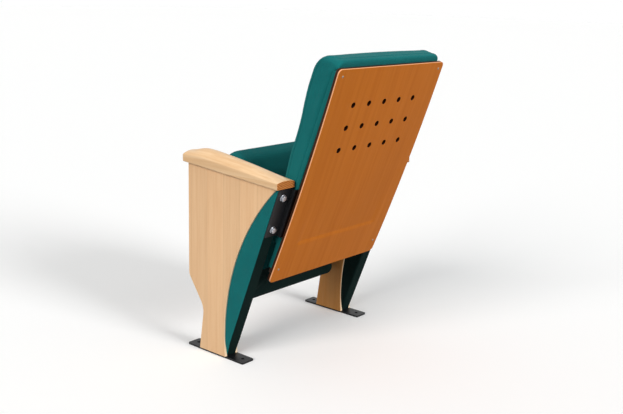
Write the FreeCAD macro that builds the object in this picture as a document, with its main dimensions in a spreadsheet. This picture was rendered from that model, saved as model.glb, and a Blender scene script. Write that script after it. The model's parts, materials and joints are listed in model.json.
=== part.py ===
import FreeCAD, Part
import Sketcher
import math
import os

# Tip-up auditorium seat, in millimetres. +X is the sitter's left, -Y is forward, +Z is up.
# The origin is the middle of the four floor anchor holes, at floor level.
# The seat is drawn tipped up, as it rests when nobody sits in it.

DIMENSIONS = {
    # Standards and feet
    "standard_pitch": 580,
    "core_thickness": 37.6,
    "side_panel_thickness": 9,
    "crescent_height": 5.2,
    "crescent_round": 3,
    "foot_length": 248,
    "foot_width": 50,
    "foot_thickness": 6,
    "foot_corner": 5,
    "anchor_pitch": 200,
    "anchor_hole_radius": 6,
    "body_front": 115,
    "leg_front_foot": 66,
    "leg_waist": 47,
    "waist_height": 146,
    "shoulder_height": 243,
    "shoulder_round": 34,
    "waist_round": 60,
    "rear_foot": 45.5,
    "wood_rear_foot": 50,
    "wood_rear_top": 257,
    "wood_rear_radius": 690,
    "wood_edge_bevel": 1,
    "recline_angle": 20.6,
    "core_recess": 2,
    "soft_gap": 0.3,
    # Steel box frame inside each standard
    "core_skin": 3.8,
    "frame_wall": 3,
    "frame_play": 0.3,
    "column_front": 40,
    "column_rear": 20,
    "gusset_height": 300,
    "frame_top_rear": 200,
    # Armrests: total heights and the heights of their upright sides, from nose to rear
    "armrest_underside": 606,
    "armrest_slope_angle": 4.4,
    "armrest_width": 74,
    "armrest_outward": 2,
    "armrest_front": 131,
    "armrest_shoulder": 121,
    "armrest_palm": 66,
    "armrest_hollow": -15,
    "armrest_waist": -100,
    "armrest_end": -270.5,
    "armrest_nose_inset": 6,
    "armrest_nose_height": 27,
    "armrest_shoulder_height": 34,
    "armrest_palm_height": 50,
    "armrest_hollow_height": 50,
    "armrest_waist_height": 43.5,
    "armrest_end_height": 24,
    "armrest_front_side": 24,
    "armrest_palm_side": 28,
    "armrest_end_side": 20,
    "armrest_screw_radius": 2.5,
    "armrest_screw_depth": 14,
    "armrest_screw_front": 10,
    "armrest_screw_rear": 130,
    # Back brackets, their bolts and washers
    "bracket_thickness": 4,
    "bracket_bottom": 424,
    "bracket_length": 162,
    "bracket_flange": 48,
    "bracket_reach": 20,
    "bracket_tail": 45,
    "bracket_step": 1.3,
    "bracket_bolt_bottom": 25,
    "bracket_bolt_pitch": 109,
    "bolt_radius": 5,
    "bolt_head": 17,
    "bolt_head_height": 6.4,
    "bolt_length": 16,
    "washer_radius": 11,
    "washer_thickness": 2,
    # Moulded back panel
    "back_height": 706,
    "back_side_gap": 2.4,
    "back_bottom": 263.7,
    "back_offset": 32,
    "back_panel_thickness": 12,
    "back_bulge": 7.4,
    "back_top_corner": 30,
    "back_bottom_corner": 18,
    "hole_radius": 8.5,
    "hole_pitch": 74.2,
    "hole_columns": 5,
    "hole_rows": 3,
    "hole_row_pitch": 72.3,
    "hole_top": 113,
    "groove_inset": 71.8,
    "groove_height": 134,
    "groove_width": 5,
    "groove_depth": 1.6,
    "panel_screw_side": 22,
    "panel_screw_top": 21,
    "panel_screw_bottom": 48,
    "panel_screw_radius": 2,
    "panel_screw_head": 4.5,
    # Inner back board and back cushion
    "back_board_thickness": 9,
    "back_board_inset": 13.8,
    "back_board_bottom": 25,
    "back_board_top": 14,
    "board_screw_radius": 3,
    "board_screw_head": 5.5,
    "back_cushion_inset": 9.8,
    "back_cushion_bottom": 118,
    "back_cushion_over": 9,
    "back_cushion_depth": 58,
    "headrest_depth": 73,
    "headrest_round": 34,
    "headrest_start": 600,
    "headrest_sweep": 160,
    "waist_top": 470,
    "waist_sweep": 900,
    "back_crown": 4,
    "back_middle_crown": 6.4,
    "cushion_pull": 11,
    "cushion_corner": 56,
    "cushion_foot_corner": 14,
    "cushion_back_round": 9,
    "cushion_low_round": 28,
    # Pivot, return spring and stop
    "pivot_forward": 16,
    "pivot_height": 318,
    "axle_radius": 8,
    "axle_collar_radius": 11,
    "axle_nose": 0.6,
    "bush_play": 0.05,
    "bush_wall": 3,
    "hub_wall": 3,
    "hub_play": 0.5,
    "clip_play": 0.6,
    "clip_thickness": 1.4,
    "clip_radius": 11.5,
    "barrel_radius": 27,
    "barrel_wall": 2.5,
    "barrel_gap": 1.9,
    "spring_wire": 2.2,
    "spring_coil": 20,
    "spring_turns": 2,
    "spring_tang": 12,
    "travel_angle": 85,
    "stop_reach": 42,
    "stop_pin_radius": 5,
    "stop_sleeve_radius": 8,
    "stop_play": 0.4,
    "stop_nose": 0.8,
    # Hinge arms
    "arm_gap": 15.2,
    "arm_thickness": 5,
    "arm_flange": 52,
    "arm_width": 42,
    "arm_corner": 6,
    "arm_shoulder": 14,
    "arm_cheek": 26,
    "arm_up": 190,
    "arm_down": 60,
    "arm_front_edge": 22,
    "slot_rim": 7,
    "cross_bar_width": 40,
    "cross_bar_thickness": 5,
    # Seat
    "seat_side_gap": 5,
    "seat_back_gap": 12.5,
    "seat_front": 325,
    "seat_under": 30,
    "seat_over": 70,
    "seat_crown": 8,
    "seat_middle_crown": 12,
    "least_crown": 1,
    "seat_nose_round": 40,
    "seat_rear_round": 36,
    "seat_under_round": 34,
    "seat_side_round": 26,
    "seat_shell_thickness": 8,
    "seat_shell_bulge": 3,
    "shell_inset": 7,
    "shell_corner": 25,
    "shell_screw_side": 60,
    "shell_screw_end": 30,
    "seat_board_thickness": 12,
    "seat_frame_space": 16,
    "seat_skirt": 12,
    "seat_board_end": 44,
    "seat_screw_inset": 30,
    "seat_screw_edge": 14,
    "screw_end_gap": 1,
}


class Size:
    """A number together with the spreadsheet formula that gives it."""

    def __init__(self, value, text):
        self.value = float(value)
        self.text = text

    def __add__(self, other):
        other = size(other)
        return Size(self.value + other.value, "(%s + %s)" % (self.text, other.text))

    def __radd__(self, other):
        return size(other) + self

    def __sub__(self, other):
        other = size(other)
        return Size(self.value - other.value, "(%s - %s)" % (self.text, other.text))

    def __rsub__(self, other):
        return size(other) - self

    def __mul__(self, other):
        other = size(other)
        return Size(self.value * other.value, "(%s * %s)" % (self.text, other.text))

    def __rmul__(self, other):
        return size(other) * self

    def __truediv__(self, other):
        other = size(other)
        return Size(self.value / other.value, "(%s / %s)" % (self.text, other.text))

    def __neg__(self):
        return -1 * self


def size(number):
    """Any number as a Size."""
    if isinstance(number, Size):
        return number
    return Size(number, repr(float(number)))


def sine(degrees):
    return Size(math.sin(math.radians(degrees.value)), "sin(1deg * %s)" % degrees.text)


def cosine(degrees):
    return Size(math.cos(math.radians(degrees.value)), "cos(1deg * %s)" % degrees.text)


def tangent(degrees):
    return Size(math.tan(math.radians(degrees.value)), "tan(1deg * %s)" % degrees.text)


doc = FreeCAD.newDocument("auditorium_seat")
sheet = doc.addObject("Spreadsheet::Sheet", "sizes")
S = {}
for row, (name, number) in enumerate(DIMENSIONS.items(), start=1):
    sheet.set("A%d" % row, str(number))
    sheet.setAlias("A%d" % row, name)
    S[name] = Size(number, "sizes.%s" % name)
doc.recompute()

nodes = []


def new_body(label):
    """A PartDesign body whose label is the name of the sub-part."""
    body = doc.addObject("PartDesign::Body", label)
    body.Label = label
    nodes.append(body)
    return body


def place(body, across=0, along=0, up=0, lean=None):
    """Put a body in its place; lean turns its upright axis back about X, in degrees."""
    spot = [size(across), size(along), size(up)]
    turn = FreeCAD.Rotation(FreeCAD.Vector(1, 0, 0), -lean.value if lean else 0)
    body.Placement = FreeCAD.Placement(FreeCAD.Vector(*[item.value for item in spot]), turn)
    for letter, item in zip("xyz", spot):
        body.setExpression("Placement.Base.%s" % letter, item.text)
    if lean:
        body.setExpression("Placement.Rotation.Angle", "1deg * %s" % lean.text)
        body.setExpression("Placement.Rotation.Axis.x", "-1")


def origin_plane(body, role):
    for feature in body.Origin.OriginFeatures:
        if feature.Role == role:
            return feature


def new_sketch(body, name, role, offset=0):
    """A sketch on one of the body's own origin planes, moved along that plane's normal."""
    offset = size(offset)
    sketch = body.newObject("Sketcher::SketchObject", name)
    sketch.AttachmentSupport = [(origin_plane(body, role), "")]
    sketch.MapMode = "FlatFace"
    sketch.AttachmentOffset = FreeCAD.Placement(FreeCAD.Vector(0, 0, offset.value), FreeCAD.Rotation())
    sketch.setExpression("AttachmentOffset.Base.z", offset.text)
    return sketch


def fix_point(sketch, edge, end, point, tag):
    """Tie a sketch point to the sheet by its distance from the sketch's origin."""
    for kind, item in (("DistanceX", point[0]), ("DistanceY", point[1])):
        item = size(item)
        index = sketch.addConstraint(Sketcher.Constraint(kind, -1, 1, edge, end, item.value))
        sketch.renameConstraint(index, "%s_%s" % (tag, kind[-1]))
        sketch.setExpression("Constraints.%s_%s" % (tag, kind[-1]), item.text)


def draw_outline(sketch, corners):
    """A closed outline. A corner is (across, up) or (across, up, radius, side).

    With a radius, the edge that leaves the corner is an arc of under a half circle, with
    its centre on the left of the way to the next corner for side 1, on the right for -1."""
    ends = []
    for index, corner in enumerate(corners):
        following = corners[(index + 1) % len(corners)]
        start = FreeCAD.Vector(size(corner[0]).value, size(corner[1]).value, 0)
        stop = FreeCAD.Vector(size(following[0]).value, size(following[1]).value, 0)
        if len(corner) == 2:
            sketch.addGeometry(Part.LineSegment(start, stop), False)
            ends.append((1, 2))
            continue
        radius, side = size(corner[2]), corner[3]
        chord = stop - start
        rise = math.sqrt(radius.value ** 2 - (chord.Length / 2) ** 2)
        normal = FreeCAD.Vector(-chord.y, chord.x, 0).normalize()
        centre = (start + stop) / 2 + normal * rise * side
        first, second = (start, stop) if side > 0 else (stop, start)
        angles = [math.atan2(point.y - centre.y, point.x - centre.x) for point in (first, second)]
        circle = Part.Circle(centre, FreeCAD.Vector(0, 0, 1), radius.value)
        sketch.addGeometry(Part.ArcOfCircle(circle, angles[0], angles[1]), False)
        ends.append((1, 2) if side > 0 else (2, 1))
    for index, corner in enumerate(corners):
        before = (index - 1) % len(corners)
        sketch.addConstraint(
            Sketcher.Constraint("Coincident", before, ends[before][1], index, ends[index][0]))
        fix_point(sketch, index, ends[index][0], corner, "corner%d" % index)
        if len(corner) == 4:
            radius = size(corner[2])
            item = sketch.addConstraint(Sketcher.Constraint("Radius", index, radius.value))
            sketch.renameConstraint(item, "bend%d" % index)
            sketch.setExpression("Constraints.bend%d" % index, radius.text)


def draw_circle(sketch, across, up, radius):
    across, up, radius = size(across), size(up), size(radius)
    centre = FreeCAD.Vector(across.value, up.value, 0)
    index = sketch.addGeometry(Part.Circle(centre, FreeCAD.Vector(0, 0, 1), radius.value), False)
    fix_point(sketch, index, 3, (across, up), "centre%d" % index)
    item = sketch.addConstraint(Sketcher.Constraint("Radius", index, radius.value))
    sketch.renameConstraint(item, "ring%d" % index)
    sketch.setExpression("Constraints.ring%d" % index, radius.text)


def draw_box(sketch, left, low, right, high):
    draw_outline(sketch, [(left, low), (right, low), (right, high), (left, high)])


def extrude(body, kind, sketch, start, end):
    """Pad or pocket a sketch between two places on its normal; the sketch lies at the first."""
    feature = body.newObject("PartDesign::%s" % kind, sketch.Name + "_" + kind.lower())
    feature.Profile = sketch
    length = end - start if end.value > start.value else start - end
    feature.Length = length.value
    feature.setExpression("Length", length.text)
    forward = end.value > start.value
    feature.Reversed = forward if kind == "Pocket" else not forward
    sketch.Visibility = False
    return feature


def slab(body, name, start, end, draw, kind="Pad"):
    """Side-view outline carried across, from one X to another."""
    start, end = size(start), size(end)
    sketch = new_sketch(body, name, "YZ_Plane", start)
    draw(sketch)
    return extrude(body, kind, sketch, start, end)


def tier(body, name, start, end, draw, kind="Pad"):
    """Top-view outline carried upward, from one height to another."""
    start, end = size(start), size(end)
    sketch = new_sketch(body, name, "XY_Plane", start)
    draw(sketch)
    return extrude(body, kind, sketch, start, end)


def round_edges(body, radius, test, name, kind="Fillet", length="Radius"):
    """Fillet, or chamfer, the edges of the body's last feature that pass a test of their box."""
    doc.recompute()
    last = body.Tip
    chosen = ["Edge%d" % (index + 1) for index, edge in enumerate(last.Shape.Edges)
              if test(edge.BoundBox)]
    feature = body.newObject("PartDesign::%s" % kind, name)
    feature.Base = (last, chosen)
    feature.setExpression(length, radius.text)


def drill(body, name, radius, depth, along, up, across, tilt):
    """A round hole cut by a cylinder whose axis is turned about X from upright."""
    cylinder = body.newObject("PartDesign::SubtractiveCylinder", name)
    cylinder.Radius = radius.value
    cylinder.setExpression("Radius", radius.text)
    cylinder.Height = depth.value
    cylinder.setExpression("Height", depth.text)
    turn = FreeCAD.Rotation(FreeCAD.Vector(1, 0, 0), -tilt.value)
    spot = [size(item) for item in (across, along, up)]
    cylinder.Placement = FreeCAD.Placement(FreeCAD.Vector(*[item.value for item in spot]), turn)
    for letter, item in zip("xyz", spot):
        cylinder.setExpression("Placement.Base.%s" % letter, item.text)
    cylinder.setExpression("Placement.Rotation.Angle", "1deg * %s" % tilt.text)
    cylinder.setExpression("Placement.Rotation.Axis.x", "-1")


def near(first, second, gap=0.01):
    return abs(first - second) < gap


# Lines that several pieces share, all in the side view: Y along, Z up
def armrest_line(along):
    """Height of the armrest's underside at a given Y."""
    return S["armrest_underside"] - (size(along) + S["body_front"]) * tangent(S["armrest_slope_angle"])


def rear_line(up):
    """Y of the standard's straight rear face at a given height."""
    return S["rear_foot"] + size(up) * tangent(S["recline_angle"])


def rear_line_top(inset=0):
    """Corner where the rear face meets the armrest's underside, moved in by an inset."""
    slope, lean = tangent(S["armrest_slope_angle"]), tangent(S["recline_angle"])
    start = S["rear_foot"] - inset
    up = (S["armrest_underside"] - (start + S["body_front"]) * slope) / (1 + lean * slope)
    return start + up * lean, up


SIDES = (("left", 1), ("right", -1))
floor_top = S["foot_thickness"]
pivot_y = -S["pivot_forward"]
pivot_z = S["pivot_height"]

# Widths that follow from the pitch of the standards, all as distances from the middle plane
half_pitch = S["standard_pitch"] / 2
half_core = S["core_thickness"] / 2
half_frame = half_core - S["core_skin"]
panel_outer = half_core + S["side_panel_thickness"]
inner_face = half_pitch - panel_outer
bracket_outside = inner_face + S["bracket_step"]
bracket_end = bracket_outside - S["bracket_thickness"] - S["bracket_tail"]
back_half_width = inner_face - S["back_side_gap"]
hub_end = inner_face - S["barrel_wall"] - S["hub_play"]
arm_outside = inner_face - S["arm_gap"]
arm_inside = arm_outside - S["arm_thickness"]
seat_half_width = arm_inside - S["seat_side_gap"]
shell_half_width = seat_half_width - S["shell_inset"]

# Radii at the pivot, and the depths of what lies on the back and on the seat
bush_bore = S["axle_radius"] + S["bush_play"]
bush_outer = bush_bore + S["bush_wall"]
back_board_rear = S["bracket_reach"] - S["bracket_thickness"] - S["back_offset"]
back_board_front = back_board_rear - S["back_board_thickness"]
frame_front = S["seat_shell_thickness"] - S["seat_under"]
board_under = frame_front + S["seat_frame_space"]
board_over = board_under + S["seat_board_thickness"]
back_at_pivot = (rear_line(pivot_z)
                 + (S["back_offset"] + back_board_front) / cosine(S["recline_angle"]))
seat_rear = back_at_pivot - pivot_y - S["seat_back_gap"]

# A slot's round end, as its radius over half the slot's width
SLOT_END = 1.001


def leg_front(inset):
    """Front edge of the standard from the armrest down to the foot."""
    front = inset - S["body_front"]
    return [
        (front, armrest_line(front)),
        (front, S["shoulder_height"]),
        (inset - S["leg_waist"], S["waist_height"]),
        (inset - S["leg_front_foot"], floor_top),
    ]


def round_leg_front(body, inset, name):
    """Soften the shoulder and the waist of the leg's front edge."""
    def at_corner(along, up):
        return lambda box: (near(box.YMin, along) and near(box.YMax, along)
                            and near(box.ZMin, up) and near(box.ZMax, up))
    round_edges(body, S["shoulder_round"],
                at_corner(inset.value - S["body_front"].value, S["shoulder_height"].value),
                name + "_shoulder")
    round_edges(body, S["waist_round"],
                at_corner(inset.value - S["leg_waist"].value, S["waist_height"].value),
                name + "_waist")


def make_foot_plate(label, side):
    body = new_body(label)
    centre = side * half_pitch
    half_width, half_length = S["foot_width"] / 2, S["foot_length"] / 2
    tier(body, label + "_outline", 0, S["foot_thickness"],
         lambda sketch: draw_box(sketch, centre - half_width, -half_length,
                                 centre + half_width, half_length))
    round_edges(body, S["foot_corner"],
                lambda box: near(box.ZLength, S["foot_thickness"].value), label + "_corners")

    def holes(sketch):
        for end in (-1, 1):
            draw_circle(sketch, centre, end * S["anchor_pitch"] / 2, S["anchor_hole_radius"])
    tier(body, label + "_anchors", 0, S["foot_thickness"], holes, "Pocket")
    place(body)


def frame_outline(grow, bottom):
    """The steel frame in side view, grown all round; it reaches the rear face in any case."""
    low = S["bracket_bottom"] - grow
    high = S["bracket_bottom"] + S["bracket_length"] * cosine(S["recline_angle"]) + grow
    column_front = -S["column_front"] - grow
    column_rear = S["column_rear"] + grow
    return [
        (column_front, bottom),
        (column_rear, bottom),
        (column_rear, S["gusset_height"] - grow),
        (rear_line(low), low),
        (rear_line(high), high),
        (S["frame_top_rear"] + grow, armrest_line(S["frame_top_rear"] + grow)),
        (column_front, armrest_line(column_front)),
    ]


def bolt_spots():
    """Heights of the two bracket bolts along the slope, from the bracket's lower end."""
    return (S["bracket_bolt_bottom"], S["bracket_bolt_bottom"] + S["bracket_bolt_pitch"])


def make_frame(label, side):
    """Column, gusset and bracket seat, pressed and welded as one hollow box."""
    body = new_body(label)
    start, end = side * (half_pitch - half_frame), side * (half_pitch + half_frame)
    slab(body, label + "_box", start, end,
         lambda sketch: draw_outline(sketch, frame_outline(size(0), floor_top)))
    wall = S["frame_wall"]
    inner = half_frame - wall

    def hollow(sketch):
        low = S["bracket_bottom"] + wall
        high = S["bracket_bottom"] + S["bracket_length"] * cosine(S["recline_angle"]) - wall
        front, rear = wall - S["column_front"], S["column_rear"] - wall
        draw_outline(sketch, [
            (front, floor_top),
            (rear, floor_top),
            (rear, S["gusset_height"] + wall),
            (rear_line(low) - wall, low),
            (rear_line(high) - wall, high),
            (S["frame_top_rear"] - wall, armrest_line(S["frame_top_rear"] - wall) - wall),
            (front, armrest_line(front) - wall),
        ])
    slab(body, label + "_hollow", side * (half_pitch - inner), side * (half_pitch + inner),
         hollow, "Pocket")

    def bores(sketch):
        draw_circle(sketch, pivot_y, pivot_z, S["axle_radius"])
        draw_circle(sketch, *stop_spot(), S["stop_pin_radius"])
    slab(body, label + "_pivot_holes", start, side * half_pitch, bores, "Pocket")
    lean, slope = S["recline_angle"], S["armrest_slope_angle"]
    along, up = bracket_origin()
    for index, spot in enumerate(bolt_spots()):
        drill(body, "%s_bolt_hole%d" % (label, index), S["bolt_radius"], 3 * wall,
              along + spot * sine(lean) + wall * cosine(lean),
              up + spot * cosine(lean) - wall * sine(lean), side * half_pitch, lean - 90)
    for index, spot in enumerate(armrest_screw_spots()):
        drill(body, "%s_screw_hole%d" % (label, index), S["armrest_screw_radius"], 3 * wall,
              spot * cosine(slope) - S["body_front"] - 2 * wall * sine(slope),
              S["armrest_underside"] - spot * sine(slope) - 2 * wall * cosine(slope),
              side * half_pitch, slope)
    place(body)


def stop_spot():
    """The stop pin's place, at the upper end of the arm's slot when the seat is up."""
    return (pivot_y + S["stop_reach"] * cosine(S["travel_angle"]),
            pivot_z + S["stop_reach"] * sine(S["travel_angle"]))


def make_core(label, side):
    """Upholstered board that fills the standard and shows as a crescent at the rear."""
    body = new_body(label)
    inset = S["core_recess"]
    top = rear_line_top()

    def board(sketch):
        draw_outline(sketch, leg_front(inset) + [(rear_line(floor_top), floor_top), top])
    slab(body, label + "_board", side * (half_pitch - half_core), side * (half_pitch + half_core),
         board)
    round_leg_front(body, inset, label)
    padded = half_core + S["crescent_height"]
    gap = S["soft_gap"]

    def crescent(sketch):
        foot = S["wood_rear_foot"] + gap
        tip = (foot - S["rear_foot"]) / tangent(S["recline_angle"])
        draw_outline(sketch, [
            (foot, tip),
            top,
            (S["wood_rear_top"] + gap, armrest_line(S["wood_rear_top"] + gap),
             S["wood_rear_radius"], 1),
        ])
    slab(body, label + "_crescent", side * (half_pitch - padded), side * (half_pitch + padded),
         crescent)
    round_edges(body, S["crescent_round"],
                lambda box: (box.ZLength > S["foot_length"].value and near(box.XLength, 0)
                             and rear_edge(box)),
                label + "_soft_edge")
    play = S["frame_play"]
    half = half_frame + play
    slab(body, label + "_cavity", side * (half_pitch - half), side * (half_pitch + half),
         lambda sketch: draw_outline(sketch, frame_outline(play, floor_top - play)), "Pocket")

    def bores(sketch):
        draw_circle(sketch, pivot_y, pivot_z, S["axle_collar_radius"] + play)
        draw_circle(sketch, *stop_spot(), S["stop_pin_radius"] + play)
    slab(body, label + "_pivot_holes", side * (half_pitch - half_core), side * half_pitch,
         bores, "Pocket")
    place(body)


def rear_edge(box):
    """True for an edge that lies along the straight rear face."""
    slope = tangent(S["recline_angle"]).value
    return (near(box.YMin, S["rear_foot"].value + box.ZMin * slope, 0.5)
            and near(box.YMax, S["rear_foot"].value + box.ZMax * slope, 0.5))


def make_side_panel(label, side, facing):
    """Beech-faced panel on one face of a standard; facing 1 looks outward, -1 inward."""
    body = new_body(label)
    start = side * (half_pitch + facing * half_core)
    end = side * (half_pitch + facing * panel_outer)

    def outline(sketch):
        top = (S["wood_rear_top"], armrest_line(S["wood_rear_top"]))
        corners = leg_front(size(0))
        corners.append((S["wood_rear_foot"], floor_top, S["wood_rear_radius"], -1))
        corners.append(top)
        draw_outline(sketch, corners)
    slab(body, label + "_outline", start, end, outline)
    round_leg_front(body, size(0), label)
    face = side * (half_pitch.value + facing * panel_outer.value)
    bevel = S["wood_edge_bevel"]
    low, high = floor_top.value + bevel.value, rear_line_top()[1].value - bevel.value
    round_edges(body, bevel,
                lambda box: (near(box.XMin, face) and near(box.XMax, face)
                             and box.ZMin < high and box.ZMax > low),
                label + "_edge", "Chamfer", "Size")
    if facing < 0:
        play = S["frame_play"]

        def bores(sketch):
            draw_circle(sketch, pivot_y, pivot_z, S["axle_collar_radius"] + play)
            draw_circle(sketch, *stop_spot(), S["stop_pin_radius"] + play)
        slab(body, label + "_pivot_holes", start, end, bores, "Pocket")
    place(body)


def make_armrest(label, side):
    """Beech armrest: crowned sections, low at the nose, full at the palm, thin at the rear."""
    body = new_body(label)
    slope = S["armrest_slope_angle"]
    stations = [
        ("end", "armrest_end", "armrest_end_height", "armrest_end_side", 0),
        ("waist", "armrest_waist", "armrest_waist_height", "armrest_palm_side", 0),
        ("hollow", "armrest_hollow", "armrest_hollow_height", "armrest_palm_side", 0),
        ("palm", "armrest_palm", "armrest_palm_height", "armrest_palm_side", 0),
        ("shoulder", "armrest_shoulder", "armrest_shoulder_height", "armrest_front_side", 0),
        ("front", "armrest_front", "armrest_nose_height", "armrest_front_side",
         S["armrest_nose_inset"]),
    ]
    sections = []
    for name, forward, height, upright, inset in stations:
        along = (S["body_front"] - S[forward]) / cosine(slope)
        sketch = new_sketch(body, "%s_%s" % (label, name), "XZ_Plane", -along)
        centre = side * (half_pitch + S["armrest_outward"])
        half = S["armrest_width"] / 2 - inset
        eaves = S[upright] - inset / 2
        crown = S[height] - eaves
        draw_outline(sketch, [
            (centre - half, inset),
            (centre + half, inset),
            (centre + half, eaves, half * half / (2 * crown) + crown / 2, 1),
            (centre - half, eaves),
        ])
        sections.append(sketch)
    loft = body.newObject("PartDesign::AdditiveLoft", label + "_loft")
    loft.Profile = sections[0]
    loft.Sections = sections[1:]
    loft.Ruled = True

    def pilot(sketch):
        for spot in armrest_screw_spots():
            draw_circle(sketch, side * half_pitch, spot, S["armrest_screw_radius"])
    tier(body, label + "_pilot_holes", 0, S["armrest_screw_depth"], pilot, "Pocket")
    place(body, 0, -S["body_front"], S["armrest_underside"], slope)


def armrest_screw_spots():
    """The two screws, as distances along the slope from the body's front edge."""
    lengthways = cosine(S["armrest_slope_angle"])
    return ((S["body_front"] + S["armrest_screw_front"]) / lengthways,
            (S["body_front"] + S["armrest_screw_rear"]) / lengthways)


def back_origin():
    """Lower rear edge of the back panel, where the leaning pieces start."""
    return rear_line(S["back_bottom"]) + S["back_offset"] / cosine(S["recline_angle"]), S["back_bottom"]


def bracket_origin():
    """Lower end of the bracket on the rear face of the standard."""
    return rear_line(S["bracket_bottom"]), S["bracket_bottom"]


def make_bracket(label, side):
    """Folded steel bracket: a flange on the standard, a web, and a tail behind the back board."""
    body = new_body(label)
    gauge = S["bracket_thickness"]
    reach = S["bracket_reach"]

    def fold(sketch):
        draw_outline(sketch, [
            (side * (bracket_outside + S["bracket_flange"]), 0),
            (side * (bracket_outside + S["bracket_flange"]), gauge),
            (side * bracket_outside, gauge),
            (side * bracket_outside, reach),
            (side * bracket_end, reach),
            (side * bracket_end, reach - gauge),
            (side * (bracket_outside - gauge), reach - gauge),
            (side * (bracket_outside - gauge), 0),
        ])
    tier(body, label + "_fold", 0, S["bracket_length"], fold)

    sketch = new_sketch(body, label + "_bolt_holes", "XZ_Plane", 0)
    for spot in bolt_spots():
        draw_circle(sketch, side * half_pitch, spot, S["bolt_radius"])
    extrude(body, "Pocket", sketch, size(0), -gauge)
    sketch = new_sketch(body, label + "_tail_holes", "XZ_Plane", gauge - reach)
    for spot in bolt_spots():
        draw_circle(sketch, side * tail_screw_x(), spot, S["board_screw_radius"])
    extrude(body, "Pocket", sketch, gauge - reach, -reach)
    place(body, 0, *bracket_origin(), S["recline_angle"])


def tail_screw_x():
    """Middle of the bracket's tail, as a distance from the middle plane."""
    return bracket_end + S["bracket_tail"] / 2


def band(sketch, length, thickness, bulge, face=0, start=0):
    """Side view of a board whose ends lie on a face line and whose middle bows beyond it."""
    outer = length * length / (8 * bulge) + bulge / 2
    face, start = size(face), size(start)
    draw_outline(sketch, [
        (face - thickness, start),
        (face, start, outer, 1),
        (face, start + length),
        (face - thickness, start + length, outer - thickness, -1),
    ])


def make_back_panel(label):
    """Moulded plywood back: bowed to the rear, rounded corners, a field of holes, one groove."""
    body = new_body(label)
    wide, high = back_half_width, S["back_height"]
    thick, bulge = S["back_panel_thickness"], S["back_bulge"]
    slab(body, label + "_bow", -wide, wide,
         lambda sketch: band(sketch, high, thick, bulge))
    middle = high.value / 2
    round_edges(body, S["back_top_corner"],
                lambda box: corner_edge(box, wide.value) and box.ZMin > middle, label + "_top")
    round_edges(body, S["back_bottom_corner"],
                lambda box: corner_edge(box, wide.value) and box.ZMin < middle, label + "_bottom")
    sketch = new_sketch(body, label + "_hole_column", "XZ_Plane", 0)
    first = -S["hole_pitch"] * (S["hole_columns"] - 1) / 2
    for step in range(int(S["hole_rows"].value)):
        draw_circle(sketch, first, high - S["hole_top"] - step * S["hole_row_pitch"],
                    S["hole_radius"])
    pocket = body.newObject("PartDesign::Pocket", label + "_holes")
    pocket.Profile = sketch
    pocket.Midplane = True
    depth = 4 * (thick + bulge)
    pocket.Length = depth.value
    pocket.setExpression("Length", depth.text)
    doc.recompute()
    pattern = body.newObject("PartDesign::LinearPattern", label + "_hole_field")
    pattern.Originals = [pocket]
    pattern.Direction = (origin_plane(body, "X_Axis"), [""])
    span = S["hole_pitch"] * (S["hole_columns"] - 1)
    pattern.Length = span.value
    pattern.setExpression("Length", span.text)
    pattern.Occurrences = int(S["hole_columns"].value)
    pattern.setExpression("Occurrences", S["hole_columns"].text)
    body.Tip = pattern

    half, tall = wide - S["groove_inset"], S["groove_width"] / 2
    level = S["groove_height"]
    deep = bow_rise(level, high, bulge) - S["groove_depth"]
    sketch = new_sketch(body, label + "_groove", "XZ_Plane", -deep)
    draw_outline(sketch, [
        (-half, level - tall),
        (half, level - tall, tall * SLOT_END, 1),
        (half, level + tall),
        (-half, level + tall, tall * SLOT_END, 1),
    ])
    extrude(body, "Pocket", sketch, -deep, -deep - thick)

    sketch = new_sketch(body, label + "_screw_holes", "XZ_Plane", 0)
    for across, up in panel_screw_spots():
        draw_circle(sketch, across, up, S["panel_screw_radius"])
    pocket = body.newObject("PartDesign::Pocket", label + "_screw_bores")
    pocket.Profile = sketch
    pocket.Midplane = True
    pocket.Length = depth.value
    pocket.setExpression("Length", depth.text)
    place(body, 0, *back_origin(), S["recline_angle"])


def corner_edge(box, half_width):
    """True for a board's short edge at one of its four corners."""
    return (near(abs(box.XMin), half_width) and near(box.XLength, 0)
            and box.ZLength < box.YLength)


def bow_rise(along, length, bulge):
    """How far a bowed face stands over the line through its ends, at a place along it."""
    share = 1 - 2 * along / length
    return bulge * (1 - share * share)


def panel_screw_spots():
    """Places of the four panel screws, across and along the panel."""
    across = back_half_width - S["panel_screw_side"]
    spots = []
    for side in (-1, 1):
        spots.append((side * across, S["panel_screw_bottom"]))
        spots.append((side * across, S["back_height"] - S["panel_screw_top"]))
    return spots


def make_back_board(label):
    """Flat inner board that carries the foam; the brackets and the panel screw to it."""
    body = new_body(label)
    wide, rear = back_half_width - S["back_board_inset"], back_board_rear
    low, high = S["back_board_bottom"], S["back_height"] - S["back_board_top"]
    slab(body, label + "_board", -wide, wide,
         lambda sketch: draw_box(sketch, rear - S["back_board_thickness"], low, rear, high))
    sketch = new_sketch(body, label + "_panel_screw_holes", "XZ_Plane", -rear)
    for across, up in panel_screw_spots():
        draw_circle(sketch, across, up, S["panel_screw_radius"])
    extrude(body, "Pocket", sketch, -rear, S["back_board_thickness"] - rear)
    sketch = new_sketch(body, label + "_bracket_screw_holes", "XZ_Plane", -rear)
    for across, up in tail_screw_spots():
        draw_circle(sketch, across, up, S["board_screw_radius"])
    extrude(body, "Pocket", sketch, -rear, S["back_board_thickness"] - rear)
    place(body, 0, *back_origin(), S["recline_angle"])


def tail_screw_spots():
    """Places of the bracket tail's screws on the back board."""
    lift = (S["bracket_bottom"] - S["back_bottom"]) / cosine(S["recline_angle"])
    lift = lift - S["back_offset"] * tangent(S["recline_angle"])
    return [(side * tail_screw_x(), lift + spot) for side in (-1, 1) for spot in bolt_spots()]


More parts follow.
